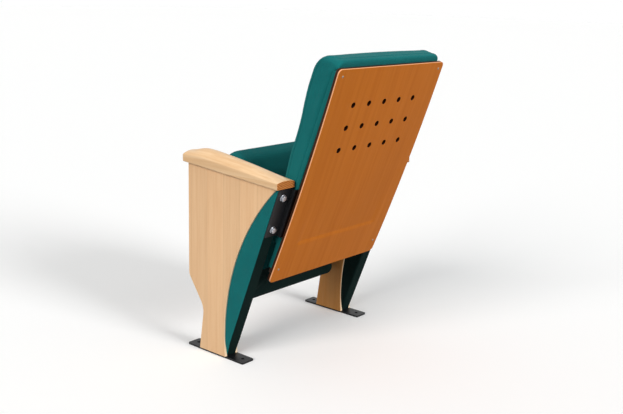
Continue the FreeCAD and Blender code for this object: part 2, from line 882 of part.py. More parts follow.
def edge_stations(half_width, round_over):
    """Section places across a cushion, with how far round its edge each one is, 0 to 1."""
    stations = []
    for degrees in (90, 60, 30, 0):
        turn = math.radians(degrees)
        across = half_width - round_over * (1 - math.sin(turn))
        stations.append((across, 1 - math.cos(turn)))
    outward = [(-across, drawn) for across, drawn in stations]
    return outward + [(size(0), 0)] + stations[::-1]


def loft_across(body, label, stations, draw):
    """A ruled skin through side-view sections at several X."""
    sections = []
    for index, (across, drawn) in enumerate(stations):
        sketch = new_sketch(body, "%s_section%d" % (label, index), "YZ_Plane", across)
        draw(sketch, across, drawn)
        sections.append(sketch)
    loft = body.newObject("PartDesign::AdditiveLoft", label + "_loft")
    loft.Profile = sections[0]
    loft.Sections = sections[1:]
    loft.Ruled = True


def make_back_cushion(label):
    """Upholstered back: slim at the waist, fuller at the head, drawn in along its edges."""
    body = new_body(label)
    gap = S["soft_gap"]
    rear = -S["back_panel_thickness"] - gap
    low = S["back_cushion_bottom"]
    top = S["back_height"] + S["back_cushion_over"]
    half_width = back_half_width - S["back_cushion_inset"]
    waist = back_board_front - S["back_cushion_depth"]
    head = back_board_front - S["headrest_depth"]

    def section(sketch, across, drawn):
        pull = drawn * drawn * S["cushion_pull"]
        crown = S["back_crown"] * (1 - drawn) if across.value else S["back_middle_crown"]
        crest = top - drawn * S["cushion_corner"]
        foot = low + drawn * S["cushion_foot_corner"]
        front = waist + pull - crown
        brow = head + pull - crown
        nose = S["headrest_round"]
        draw_outline(sketch, [
            (rear, foot),
            (rear, crest - S["cushion_back_round"], S["cushion_back_round"], 1),
            (rear - S["cushion_back_round"], crest),
            (brow + nose, crest, nose, 1),
            (brow, crest - nose),
            (brow, S["headrest_start"], S["headrest_sweep"], 1),
            (front, S["waist_top"], S["waist_sweep"], -1),
            (front, low + S["cushion_low_round"], S["cushion_low_round"], 1),
            (front + S["cushion_low_round"], foot),
        ])
    loft_across(body, label, edge_stations(half_width, S["cushion_corner"]), section)
    slab(body, label + "_board_bed", -back_half_width, back_half_width,
         lambda sketch: draw_box(sketch, back_board_front - gap, size(0), size(0),
                                 S["back_height"] - S["back_board_top"] + gap), "Pocket")
    place(body, 0, *back_origin(), S["recline_angle"])


def ring(body, name, start, end, radius, hole=None):
    """A disc or a ring about the pivot line, from one X to another."""
    def draw(sketch):
        draw_circle(sketch, 0, 0, radius)
        if hole is not None:
            draw_circle(sketch, 0, 0, hole)
    return slab(body, name, start, end, draw)


def make_axle(label, side):
    """Stub axle: its collar sits on the frame, its nose carries the seat arm."""
    body = new_body(label)
    shell = half_pitch - half_frame
    nose = arm_inside - S["clip_play"] - S["clip_thickness"] - S["axle_nose"]
    ring(body, label + "_journal", side * nose, side * half_pitch, S["axle_radius"])
    ring(body, label + "_collar", side * inner_face, side * shell, S["axle_collar_radius"])
    place(body, 0, pivot_y, pivot_z)


def make_axle_clip(label, side):
    body = new_body(label)
    start = arm_inside - S["clip_play"]
    ring(body, label + "_ring", side * start, side * (start - S["clip_thickness"]),
         S["clip_radius"], S["axle_radius"])
    place(body, 0, pivot_y, pivot_z)


def make_barrel(label, side):
    """Cup on the inner panel that houses the return spring."""
    body = new_body(label)
    ring(body, label + "_floor", side * inner_face, side * (inner_face - S["barrel_wall"]),
         S["barrel_radius"], S["axle_radius"] + S["bush_play"])
    ring(body, label + "_wall", side * inner_face, side * (arm_outside + S["barrel_gap"]),
         S["barrel_radius"], S["barrel_radius"] - S["barrel_wall"])
    place(body, 0, pivot_y, pivot_z)


def make_spring(label, side):
    """Coiled return spring round the hub, its outer tang run out to the barrel's wall."""
    wire = S["spring_wire"].value / 2
    coil = S["spring_coil"].value
    gap = S["soft_gap"].value
    start = inner_face.value - S["barrel_wall"].value - wire - gap
    end = arm_outside.value + S["barrel_gap"].value + wire + gap
    pitch = (start - end) / S["spring_turns"].value
    quarters = int(4 * S["spring_turns"].value)
    spine = []
    for quarter in range(quarters):
        points = []
        for part in range(3):
            turn = (quarter + part / 2) / 4
            points.append(FreeCAD.Vector(
                side * (start - pitch * turn),
                coil * math.cos(2 * math.pi * turn), coil * math.sin(2 * math.pi * turn)))
        spine.append(Part.Arc(*points).toShape())
    reach = S["barrel_radius"].value - S["barrel_wall"].value - coil - wire
    first = FreeCAD.Vector(side * start, coil, 0)
    tang = Part.makeLine(first - FreeCAD.Vector(0, 0, S["spring_tang"].value), first)
    path = Part.Wire([tang] + spine)
    profile = Part.Wire(Part.makeCircle(wire, path.Vertexes[0].Point, FreeCAD.Vector(0, 0, 1)))
    solid = path.makePipeShell([profile], True, False)
    spring = doc.addObject("Part::Feature", label)
    spring.Label = label
    spring.Shape = solid
    spring.Placement.Base = FreeCAD.Vector(0, pivot_y.value, pivot_z.value)
    nodes.append(spring)
    print(label, "gap between turns", round(pitch - 2 * wire, 2), "to the wall", round(reach, 2))


def make_stop_pin(label, side):
    body = new_body(label)
    nose = arm_inside - S["stop_nose"]
    along, up = stop_spot()
    ring(body, label + "_pin", side * nose, side * half_pitch, S["stop_pin_radius"])
    place(body, 0, along, up)


def make_stop_sleeve(label, side):
    """Rubber buffer on the stop pin, inside the slot of the seat arm."""
    body = new_body(label)
    along, up = stop_spot()
    ring(body, label + "_buffer", side * (arm_inside - S["stop_nose"]),
         side * (arm_outside + S["stop_nose"]), S["stop_sleeve_radius"],
         S["stop_pin_radius"])
    place(body, 0, along, up)


def make_seat_arm(label, side):
    """Pressed hinge arm: hub, stop slot and a flange that screws to the seat board."""
    body = new_body(label)
    reach, cheek = S["stop_reach"], S["arm_cheek"]
    slot_half = S["stop_sleeve_radius"] + S["stop_play"]
    rim = reach + slot_half + S["slot_rim"]
    edge = S["arm_front_edge"]
    step = S["arm_width"] - edge

    def plate(sketch):
        draw_outline(sketch, [
            (-edge, -S["arm_down"]),
            (step, -S["arm_down"]),
            (rim, -slot_half - S["slot_rim"]),
            (rim, cheek),
            (cheek, rim),
            (step, rim + S["arm_shoulder"]),
            (step, S["arm_up"]),
            (-edge, S["arm_up"]),
        ])
    slab(body, label + "_plate", side * arm_inside, side * arm_outside, plate)
    round_edges(body, S["arm_corner"],
                lambda box: near(box.YLength, 0) and near(box.ZLength, 0), label + "_corners")
    slab(body, label + "_flange", side * arm_outside, side * (arm_outside - S["arm_flange"]),
         lambda sketch: draw_box(sketch, board_under - S["arm_thickness"],
                                 -S["arm_down"] + S["arm_corner"], board_under,
                                 S["arm_up"] - S["arm_corner"]))
    ring(body, label + "_hub", side * arm_outside, side * hub_end, bush_outer + S["hub_wall"])
    relief = arm_inside - 2 * S["clip_play"] - S["clip_thickness"] - 2 * S["axle_nose"]
    slab(body, label + "_clip_relief", side * arm_inside, side * relief,
         lambda sketch: draw_circle(sketch, 0, 0, S["clip_radius"] + S["clip_play"]), "Pocket")
    slab(body, label + "_bore", side * arm_inside, side * hub_end,
         lambda sketch: draw_circle(sketch, 0, 0, bush_outer), "Pocket")

    def slot(sketch):
        far, close = reach + slot_half, reach - slot_half
        end = S["travel_angle"]
        tip = slot_half * SLOT_END
        draw_outline(sketch, [
            (close, 0, tip, 1),
            (far, 0, far, 1),
            (far * cosine(end), far * sine(end), tip, 1),
            (close * cosine(end), close * sine(end), close, -1),
        ])
    slab(body, label + "_slot", side * arm_inside, side * arm_outside, slot, "Pocket")
    sketch = new_sketch(body, label + "_screw_holes", "XZ_Plane", -board_under)
    for across, up in seat_screw_spots():
        if across.value * side > 0:
            draw_circle(sketch, across, up, S["board_screw_radius"])
    extrude(body, "Pocket", sketch, -board_under, S["arm_thickness"] - board_under)
    place(body, 0, pivot_y, pivot_z)


def seat_screw_spots():
    """Three screws in each arm's flange, across and along the seat."""
    across = arm_outside - S["arm_flange"] + S["seat_screw_edge"]
    low = -S["arm_down"] + S["seat_screw_inset"]
    high = S["arm_up"] - S["seat_screw_inset"]
    return [(side * across, up) for side in (-1, 1) for up in (low, (low + high) / 2, high)]


def make_bush(label, side):
    body = new_body(label)
    ring(body, label + "_sleeve", side * arm_inside, side * hub_end, bush_outer, bush_bore)
    place(body, 0, pivot_y, pivot_z)


def make_cross_bar(label):
    """Flat bar that ties the two arms together under the board."""
    body = new_body(label)
    half = arm_outside - S["arm_flange"]
    middle = (S["arm_up"] - S["arm_down"]) / 2
    slab(body, label + "_bar", -half, half,
         lambda sketch: draw_box(sketch, board_under - S["cross_bar_thickness"],
                                 middle - S["cross_bar_width"] / 2, board_under,
                                 middle + S["cross_bar_width"] / 2))
    place(body, 0, pivot_y, pivot_z)


def seat_board_ends():
    """Lower and upper edge of the seat board, from the pivot."""
    return S["seat_board_end"] - seat_rear, S["seat_front"] - S["seat_board_end"]


def make_seat_board(label):
    body = new_body(label)
    wide = seat_half_width - S["seat_skirt"]
    low, high = seat_board_ends()
    slab(body, label + "_board", -wide, wide,
         lambda sketch: draw_box(sketch, board_under, low, board_over, high))
    sketch = new_sketch(body, label + "_screw_holes", "XZ_Plane", -board_over)
    for across, up in seat_screw_spots():
        draw_circle(sketch, across, up, S["board_screw_radius"])
    for across, up in shell_screw_spots():
        draw_circle(sketch, across, up, S["panel_screw_radius"])
    extrude(body, "Pocket", sketch, -board_over, -board_under)
    place(body, 0, pivot_y, pivot_z)


def shell_screw_spots():
    """Four screws that hold the seat's moulded underside."""
    low, high = seat_board_ends()
    across = shell_half_width - S["shell_screw_side"]
    inset = S["shell_screw_end"]
    return [(side * across, up) for side in (-1, 1) for up in (low + inset, high - inset)]


def make_seat_shell(label):
    """Moulded plywood underside, bowed away from the foam."""
    body = new_body(label)
    wide = shell_half_width
    low, high = seat_board_ends()
    length = high - low
    bulge = S["seat_shell_bulge"]
    outer = length * length / (8 * bulge) + bulge / 2
    thick = S["seat_shell_thickness"]
    under = -S["seat_under"]

    def bow(sketch):
        draw_outline(sketch, [
            (under, low),
            (under + thick, low),
            (under + thick, high),
            (under, high, outer, 1),
        ])
    slab(body, label + "_bow", -wide, wide, bow)
    round_edges(body, S["shell_corner"],
                lambda box: corner_edge(box, wide.value), label + "_corners")
    sketch = new_sketch(body, label + "_screw_holes", "XZ_Plane", -under - thick)
    for across, up in shell_screw_spots():
        draw_circle(sketch, across, up, S["panel_screw_radius"])
    extrude(body, "Pocket", sketch, -under - thick, -under + 2 * bulge)
    place(body, 0, pivot_y, pivot_z)


def make_seat_cushion(label):
    """Upholstered seat: crowned top, deep rounded nose, sides drawn in, a bed for the board."""
    body = new_body(label)
    gap = S["soft_gap"]
    inner = frame_front + gap

    def section(sketch, across, drawn):
        pull = drawn * S["cushion_pull"]
        crown = S["seat_crown"] * (1 - drawn) if across.value else S["seat_middle_crown"]
        crown = crown + S["least_crown"]
        face = S["seat_over"] - S["seat_middle_crown"] - pull
        low, high = pull - seat_rear, S["seat_front"] - pull
        nose, heel, chin = S["seat_nose_round"], S["seat_rear_round"], S["seat_under_round"]
        chord = high - nose - (low + heel)
        draw_outline(sketch, [
            (inner, low + chin, chin, 1),
            (inner + chin, low),
            (face - heel, low, heel, 1),
            (face, low + heel, chord * chord / (8 * crown) + crown / 2, 1),
            (face, high - nose, nose, 1),
            (face - nose, high),
            (inner + chin, high, chin, 1),
            (inner, high - chin),
        ])
    loft_across(body, label, edge_stations(seat_half_width, S["seat_side_round"]), section)
    low, high = seat_board_ends()
    wide = seat_half_width - S["seat_skirt"] + gap
    slab(body, label + "_board_bed", -wide, wide,
         lambda sketch: draw_box(sketch, frame_front, low - gap, board_over + gap, high + gap),
         "Pocket")
    slab(body, label + "_arm_notches", -arm_inside, arm_inside,
         lambda sketch: draw_box(sketch, frame_front, -S["arm_down"] - gap, board_under + gap,
                                 S["arm_up"] + gap), "Pocket")
    place(body, 0, pivot_y, pivot_z)


def group(label, solids, along, up, lean=None):
    """Identical small pieces kept together as one node."""
    feature = doc.addObject("Part::Feature", label)
    feature.Label = label
    feature.Shape = Part.makeCompound(solids)
    turn = FreeCAD.Rotation(FreeCAD.Vector(1, 0, 0), -lean.value if lean else 0)
    feature.Placement = FreeCAD.Placement(
        FreeCAD.Vector(0, size(along).value, size(up).value), turn)
    nodes.append(feature)


def hexagon_bolt(spot, axis, radius, across_flats, head, length):
    """Hexagon head on its spot, shank the other way from the axis."""
    corner = FreeCAD.Vector(across_flats / math.sqrt(3), 0, 0)
    turns = [FreeCAD.Rotation(FreeCAD.Vector(0, 0, 1), 60 * step) for step in range(7)]
    outline = Part.makePolygon([turn.multVec(corner) for turn in turns])
    prism = Part.Face(outline).extrude(FreeCAD.Vector(0, 0, head))
    shank = Part.makeCylinder(radius, length, FreeCAD.Vector(0, 0, -length))
    bolt = prism.fuse(shank)
    bolt.Placement = FreeCAD.Placement(spot, FreeCAD.Rotation(FreeCAD.Vector(0, 0, 1), axis))
    return bolt


def pan_screw(spot, axis, radius, head_radius, length):
    """Tapered head as high as the shank's radius on its spot, shank the other way."""
    head = Part.makeCone(head_radius, radius, radius)
    shank = Part.makeCylinder(radius, length, FreeCAD.Vector(0, 0, -length))
    screw = head.fuse(shank)
    screw.Placement = FreeCAD.Placement(spot, FreeCAD.Rotation(FreeCAD.Vector(0, 0, 1), axis))
    return screw


def head_seat(along, length, bulge, head_radius):
    """Highest point of a bowed face under a screw's head."""
    inward = head_radius if along < length / 2 else -head_radius
    return bow_rise(along + inward, length, bulge)


def make_bolts():
    """The brackets' hexagon bolts and their washers."""
    rearward = FreeCAD.Vector(0, 1, 0)
    gauge, washer = S["bracket_thickness"].value, S["washer_thickness"].value
    radius = S["bolt_radius"].value
    bolts, washers = [], []
    for name, side in SIDES:
        for spot in bolt_spots():
            base = FreeCAD.Vector(side * half_pitch.value, gauge, spot.value)
            bolts.append(hexagon_bolt(
                base + washer * rearward, rearward, radius, S["bolt_head"].value,
                S["bolt_head_height"].value, S["bolt_length"].value))
            disc = Part.makeCylinder(S["washer_radius"].value, washer, base, rearward)
            washers.append(disc.cut(Part.makeCylinder(radius, washer, base, rearward)))
    group("bracket_bolts", bolts, *bracket_origin(), S["recline_angle"])
    group("bracket_washers", washers, *bracket_origin(), S["recline_angle"])


def make_screws():
    """Screws of the back board, the back panel, the armrests, the hinge arms and the shell."""
    rearward, forward, down = (FreeCAD.Vector(0, 1, 0), FreeCAD.Vector(0, -1, 0),
                               FreeCAD.Vector(0, 0, -1))
    short = S["screw_end_gap"].value
    board_radius, board_head = S["board_screw_radius"].value, S["board_screw_head"].value
    panel_radius, panel_head = S["panel_screw_radius"].value, S["panel_screw_head"].value

    reach = S["bracket_reach"] - S["back_offset"]
    length = reach.value - back_board_front.value - short
    screws = [pan_screw(FreeCAD.Vector(across.value, reach.value, up.value), rearward,
                        board_radius, board_head, length)
              for across, up in tail_screw_spots()]
    group("back_board_screws", screws, *back_origin(), S["recline_angle"])

    screws = []
    for across, up in panel_screw_spots():
        rise = head_seat(up.value, S["back_height"].value, S["back_bulge"].value, panel_head)
        screws.append(pan_screw(
            FreeCAD.Vector(across.value, rise, up.value), rearward, panel_radius, panel_head,
            rise - back_board_front.value - short))
    group("back_panel_screws", screws, *back_origin(), S["recline_angle"])

    wall = S["frame_wall"].value
    screws = [pan_screw(FreeCAD.Vector(side * half_pitch.value, spot.value, -wall), down,
                        S["armrest_screw_radius"].value, board_head,
                        wall + S["armrest_screw_depth"].value - short)
              for name, side in SIDES for spot in armrest_screw_spots()]
    group("armrest_screws", screws, -S["body_front"], S["armrest_underside"],
          S["armrest_slope_angle"])

    under = board_under.value - S["arm_thickness"].value
    screws = [pan_screw(FreeCAD.Vector(across.value, under, up.value), forward,
                        board_radius, board_head, board_over.value - under - short)
              for across, up in seat_screw_spots()]
    group("seat_screws", screws, pivot_y, pivot_z)

    low, high = (item.value for item in seat_board_ends())
    screws = []
    for across, up in shell_screw_spots():
        rise = head_seat(up.value - low, high - low, S["seat_shell_bulge"].value, panel_head)
        face = -S["seat_under"].value - rise
        screws.append(pan_screw(
            FreeCAD.Vector(across.value, face, up.value), forward, panel_radius, panel_head,
            board_over.value - face - short))
    group("seat_shell_screws", screws, pivot_y, pivot_z)


for name, side in SIDES:
    make_foot_plate(name + "_foot_plate", side)
    make_frame(name + "_standard_frame", side)
    make_core(name + "_side_core", side)
    make_side_panel(name + "_outer_panel", side, 1)
    make_side_panel(name + "_inner_panel", side, -1)
    make_armrest(name + "_armrest", side)
    make_bracket(name + "_back_bracket", side)
    make_axle(name + "_axle", side)
    make_axle_clip(name + "_axle_clip", side)
    make_barrel(name + "_spring_barrel", side)
    make_spring(name + "_return_spring", side)
    make_stop_pin(name + "_stop_pin", side)
    make_stop_sleeve(name + "_stop_sleeve", side)
    make_seat_arm(name + "_seat_arm", side)
    make_bush(name + "_pivot_bush", side)
make_back_panel("back_panel")
make_back_board("back_board")
make_back_cushion("back_cushion")
make_cross_bar("seat_cross_bar")
make_seat_board("seat_board")
make_seat_shell("seat_shell")
make_seat_cushion("seat_cushion")
make_bolts()
make_screws()

doc.recompute()
failed = [item.Name for item in doc.Objects if "Invalid" in item.State or "Error" in item.State]
for node in nodes:
    if node.Shape.isNull() or not node.Shape.isValid():
        failed.append(node.Label)
if failed:
    raise RuntimeError("failed: " + ", ".join(failed))

os.makedirs("parts", exist_ok=True)
for node in nodes:
    node.Shape.exportStep("parts/%s.step" % node.Label)
    box = node.Shape.BoundBox
    print("%-22s solids %d volume %9.0f x %.1f %.1f y %.1f %.1f z %.1f %.1f" % (
        node.Label, len(node.Shape.Solids), node.Shape.Volume,
        box.XMin, box.XMax, box.YMin, box.YMax, box.ZMin, box.ZMax))
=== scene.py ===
# %% [markdown]
# # A tip-up auditorium seat
# The steel, the wood and the joints come from the solid model. This lesson dresses it: soft
# pads, smooth armrests, real bolt heads, and the finish of every surface. Lengths are in
# metres. +X is the sitter's left, -Y is forward and +Z is up. The seat is tipped up.

# %% Load the solid model
import json
import math

import bmesh
import bpy
import numpy as np
from mathutils import Matrix, Vector
from mathutils.bvhtree import BVHTree
from mathutils.geometry import delaunay_2d_cdt
from mathutils.kdtree import KDTree


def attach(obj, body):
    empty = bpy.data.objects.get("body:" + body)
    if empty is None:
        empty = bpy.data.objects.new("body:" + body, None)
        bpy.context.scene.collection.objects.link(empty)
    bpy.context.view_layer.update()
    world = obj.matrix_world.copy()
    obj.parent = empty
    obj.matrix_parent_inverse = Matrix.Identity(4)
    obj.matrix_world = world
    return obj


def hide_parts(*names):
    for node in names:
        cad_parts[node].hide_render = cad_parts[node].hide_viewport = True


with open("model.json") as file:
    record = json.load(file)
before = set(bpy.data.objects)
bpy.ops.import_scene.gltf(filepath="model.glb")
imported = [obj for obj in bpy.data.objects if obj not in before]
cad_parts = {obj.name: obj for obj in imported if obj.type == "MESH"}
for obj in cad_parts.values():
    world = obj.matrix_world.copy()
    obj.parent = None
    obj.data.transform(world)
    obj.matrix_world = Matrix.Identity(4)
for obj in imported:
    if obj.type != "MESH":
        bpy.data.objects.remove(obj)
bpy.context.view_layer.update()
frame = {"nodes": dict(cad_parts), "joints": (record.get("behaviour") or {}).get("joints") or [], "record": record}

SIDES = (("left", 1), ("right", -1))
print("solid pieces:", len(frame["nodes"]))

# %% [markdown]
# ## The lines that the pieces share
# The rear face of each standard and the whole back lean by the same angle. The armrests fall
# to the rear by a smaller one. Every new piece is laid out on these lines.

# %% Shared lines
LEAN = math.radians(20.6)
ARM_SLOPE = math.radians(4.4)
HALF_PITCH = 0.290
PIVOT = Vector(frame["joints"][0]["pos_m"])
FLOOR_TOP = 0.006
BODY_FRONT = -0.115
ARM_UNDER = 0.606
REAR_FOOT = 0.0455
BACK_LOW = 0.2637
BACK_STAND = 0.032


def rear_line(up):
    """Y of the standard's rear face: y = foot + up * tan(lean)."""
    return REAR_FOOT + up * math.tan(LEAN)


def arm_line(along):
    """Height of the armrest's underside: z = top - (y - front) * tan(slope)."""
    return ARM_UNDER - (along - BODY_FRONT) * math.tan(ARM_SLOPE)


BACK_Y = rear_line(BACK_LOW) + BACK_STAND / math.cos(LEAN)


def on_back(across, out, up):
    """Leaning frame to room: y = y0 + out cos + up sin, z = z0 - out sin + up cos."""
    across, out, up = np.broadcast_arrays(across, out, up)
    return np.stack([
        across,
        BACK_Y + out * math.cos(LEAN) + up * math.sin(LEAN),
        BACK_LOW - out * math.sin(LEAN) + up * math.cos(LEAN),
    ], -1)


def on_seat(across, out, up):
    """Seat frame to room: out is along +Y and up along +Z, both from the pivot."""
    across, out, up = np.broadcast_arrays(across, out, up)
    return np.stack([across, PIVOT.y + out, PIVOT.z + up], -1)


print("back starts at y %.4f" % BACK_Y)

# %% [markdown]
# ## Making surfaces
# A piece is a stack of rings. Each ring is a closed row of points, and neighbouring rings are
# joined by four-sided faces. The last rings are closed by fans.

# %% Tools for surfaces


def link(name, mesh):
    """A new object at the origin of the room."""
    piece = bpy.data.objects.new(name, mesh)
    bpy.context.scene.collection.objects.link(piece)
    return piece


def face_outward(mesh):
    """Turn all faces of closed surfaces outward."""
    work = bmesh.new()
    work.from_mesh(mesh)
    bmesh.ops.recalc_face_normals(work, faces=work.faces)
    work.to_mesh(mesh)
    work.free()


def ring_faces(rings, around):
    """Quads between neighbouring rings: (i, j), (i, j+1), (i+1, j+1), (i+1, j)."""
    first = np.arange(rings - 1)[:, None] * around
    here = np.arange(around)[None, :]
    there = (here + 1) % around
    return np.stack([first + here, first + there, first + around + there,
                     first + around + here], -1).reshape(-1, 4)


def stack(rings, closed=False):
    """Points and faces of a stack of rings; closed joins its last ring to its first."""
    count, around = rings.shape[:2]
    points = rings.reshape(-1, 3)
    if closed:
        faces = ring_faces(count + 1, around) % (count * around)
        return points, faces.tolist()
    faces = ring_faces(count, around).tolist()
    points = np.vstack([points, rings[0].mean(0), rings[-1].mean(0)])
    low, high = count * around, count * around + 1
    last = (count - 1) * around
    for j in range(around):
        k = (j + 1) % around
        faces.append([low, k, j])
        faces.append([high, last + j, last + k])
    return points, faces


def piece_from(name, parts, sharp=35):
    """One object from several (points, faces) parts, smooth except at sharp edges."""
    points, faces, shift = [], [], 0
    for part_points, part_faces in parts:
        points.append(part_points)
        faces.extend([[index + shift for index in face] for face in part_faces])
        shift += len(part_points)
    mesh = bpy.data.meshes.new(name)
    mesh.from_pydata(np.vstack(points).tolist(), [], faces)
    face_outward(mesh)
    mesh.shade_smooth()
    mesh.set_sharp_from_angle(angle=math.radians(sharp))
    return link(name, mesh)


print("piece maker ready")

# %% Tools for points and rings


def read_points(mesh):
    flat = np.empty(len(mesh.vertices) * 3)
    mesh.vertices.foreach_get("co", flat)
    return flat.reshape(-1, 3)


def read_normals(mesh):
    flat = np.empty(len(mesh.vertices) * 3)
    mesh.vertices.foreach_get("normal", flat)
    return flat.reshape(-1, 3)


def write_points(mesh, points):
    mesh.vertices.foreach_set("co", np.asarray(points, float).reshape(-1))
    mesh.update()


def unit(vectors):
    """Vectors over their lengths."""
    return vectors / np.linalg.norm(vectors, axis=-1, keepdims=True)


def blur_ring(ring, rounds):
    """Round a closed row of points: p = (before + 2 p + after) / 4, several times over."""
    for _ in range(rounds):
        ring = (np.roll(ring, 1, axis=-2) + 2 * ring + np.roll(ring, -1, axis=-2)) / 4
    return ring


def even_ring(corners, count):
    """Evenly spaced points on a closed outline of straight runs."""
    closed = np.vstack([corners, corners[:1]])
    walked = np.concatenate([[0], np.cumsum(np.linalg.norm(np.diff(closed, axis=0), axis=1))])
    steps = np.linspace(0, walked[-1], count, endpoint=False)
    return np.stack([np.interp(steps, walked, closed[:, axis]) for axis in (0, 1)], -1)


def tube(path, outward, radius, closed=False, around=10):
    """Round tube: p(s, a) = path(s) + r (cos a * outward + sin a * side)."""
    along = np.roll(path, -1, 0) - np.roll(path, 1, 0) if closed else np.gradient(path, axis=0)
    side = unit(np.cross(unit(along), outward))
    turn = np.linspace(0, 2 * math.pi, around, endpoint=False)[None, :, None]
    rings = path[:, None] + radius * (np.cos(turn) * outward[:, None] + np.sin(turn) * side[:, None])
    return stack(rings, closed)


print("surface tools ready")

# %% [markdown]
# ## Finishes
# Each finish is a small network of nodes on object coordinates, so its grain or weave keeps
# its real size. The helper below adds one node and connects it.

# %% Tools for finishes


def linear(red, green, blue):
    """Screen colour, 0 to 255, as linear light."""
    return tuple((value / 255 / 12.92 if value <= 10 else ((value / 255 + 0.055) / 1.055) ** 2.4)
                 for value in (red, green, blue)) + (1.0,)


class Finish:
    """A material under construction."""

    def __init__(self, name, roughness, metallic=0.0, sheen=0.0, coat=0.0, specular=0.5):
        self.material = bpy.data.materials.new(name)
        self.material.use_nodes = True
        self.tree = self.material.node_tree
        self.shader = self.tree.nodes["Principled BSDF"]
        self.shader.inputs["Roughness"].default_value = roughness
        self.shader.inputs["Metallic"].default_value = metallic
        self.shader.inputs["Sheen Weight"].default_value = sheen
        self.shader.inputs["Coat Weight"].default_value = coat
        self.shader.inputs["Specular IOR Level"].default_value = specular
        self.place = self.add("TexCoord").outputs["Object"]

    def add(self, kind, inputs=None, **settings):
        """One node; its inputs are given values or are linked from other sockets."""
        item = self.tree.nodes.new("ShaderNode" + kind)
        for key, value in settings.items():
            setattr(item, key, value)
        for key, value in (inputs or {}).items():
            if isinstance(value, bpy.types.NodeSocket):
                self.tree.links.new(value, item.inputs[key])
            else:
                item.inputs[key].default_value = value
        return item

    def math(self, operation, first, second=0.0, third=0.0):
        inputs = {0: first, 1: second, 2: third}
        return self.add("Math", inputs, operation=operation).outputs[0]

    def axis(self, letter, place=None):
        split = self.add("SeparateXYZ", {0: place or self.place})
        return split.outputs[letter]

    def mapped(self, scale=(1, 1, 1), turn=(0, 0, 0), shift=(0, 0, 0)):
        """Object coordinates, shifted, turned and scaled as a texture's mapping does it."""
        node = self.add("Mapping", {0: self.place, "Location": shift, "Rotation": turn,
                                    "Scale": scale})
        return node.outputs[0]

    def noise(self, place, scale, detail=4.0, rough=0.55, distortion=0.0):
        node = self.add("TexNoise", {"Vector": place, "Scale": scale, "Detail": detail,
                                     "Roughness": rough, "Distortion": distortion})
        return node.outputs[0]

    def ramp(self, value, low, high):
        """0 below low, 1 above high, smooth between."""
        node = self.add("MapRange", {0: value, 1: low, 2: high}, interpolation_type="SMOOTHSTEP")
        return node.outputs[0]

    def mix(self, share, first, second):
        node = self.add("Mix", {0: share, 6: first, 7: second}, data_type="RGBA")
        return node.outputs[2]

    def shade(self, colour, factor):
        """A colour made darker or lighter by a grey factor."""
        node = self.add("VectorMath", {0: colour, "Scale": factor}, operation="SCALE")
        return node.outputs[0]

    def bump(self, height, distance, strength=1.0, after=None):
        inputs = {"Height": height, "Distance": distance, "Strength": strength}
        if after is not None:
            inputs["Normal"] = after
        return self.add("Bump", inputs).outputs[0]

    def done(self, colour=None, roughness=None, normal=None):
        """Link what varies into the shader and give the material back."""
        for name, value in (("Base Color", colour), ("Roughness", roughness),
                            ("Normal", normal)):
            if isinstance(value, bpy.types.NodeSocket):
                self.tree.links.new(value, self.shader.inputs[name])
            elif value is not None:
                self.shader.inputs[name].default_value = value
        return self.material


print("finish tools ready")

# %% [markdown]
# ### Wood
# The side panels are beech veneer laid in upright staves: each stave has its own tone, and a
# fine darker line parts it from the next. The armrests are solid beech with the grain along
# them. The inner panels get a browner, more orange beech: painted shade and warm bounce light
# from the back panel. The back is stained plywood. Its hole walls are painted shade; its edge
# shows a pale line of plies along the rear face, lightened as a painted highlight, and painted
# shade deeper in.

# %% Wood finishes


def side_wood(name, pale, warm):
    """Beech veneer in upright staves."""
    f = Finish(name, 0.5, coat=0.04, specular=0.25)
    stave_width, first_joint = 0.071, 0.031
    column = f.math("DIVIDE", f.math("ADD", f.axis("Y"), first_joint), stave_width)
    stave = f.math("FLOOR", column)
    tone = f.add("TexWhiteNoise", {"W": stave}, noise_dimensions="1D").outputs["Value"]
    fraction = f.math("FRACT", column)
    joint = f.ramp(f.math("ABSOLUTE", f.math("SUBTRACT", fraction, 0.5)), 0.482, 0.5)
    offset = f.add("CombineXYZ", {0: stave, 2: f.math("MULTIPLY", tone, 3.0)}).outputs[0]
    shifted = f.add("VectorMath", {0: f.place, 1: offset}, operation="ADD").outputs[0]
    stretched = f.add("Mapping", {0: shifted, "Scale": (90, 90, 3.2)}).outputs[0]
    grain = f.noise(stretched, 1.0, 6.0, 0.6, 0.35)
    fleck = f.noise(f.add("Mapping", {0: shifted, "Scale": (700, 700, 70)}).outputs[0], 1.0, 2.0)
    broad = f.noise(f.mapped((7, 7, 1.6)), 1.0, 2.0)
    colour = f.mix(f.ramp(grain, 0.32, 0.72), pale, warm)
    # Faces that do not face sideways, the panels' edges, turn pale: partly the cut edge's own colour, partly a
    # painted highlight.
    sideways = f.axis("X", f.add("NewGeometry").outputs["True Normal"])
    cut = f.ramp(f.math("ABSOLUTE", sideways), 0.8, 0.5)
    colour = f.mix(cut, colour, linear(252, 224, 188))
    factor = f.math("MULTIPLY_ADD", tone, 0.10, 0.93)
    factor = f.math("MULTIPLY", factor, f.math("MULTIPLY_ADD", broad, 0.10, 0.95))
    factor = f.math("MULTIPLY", factor, f.math("MULTIPLY_ADD", joint, -0.11, 1.0))
    fleck = f.math("MULTIPLY_ADD", f.ramp(fleck, 0.60, 0.75), -0.07, 1.0)
    factor = f.math("MULTIPLY", factor, fleck)
    height = f.math("ADD", grain, f.math("MULTIPLY", joint, -1.5))
    return f.done(f.shade(colour, factor), f.math("MULTIPLY_ADD", grain, 0.14, 0.36),
                  f.bump(height, 0.0002, 0.5))


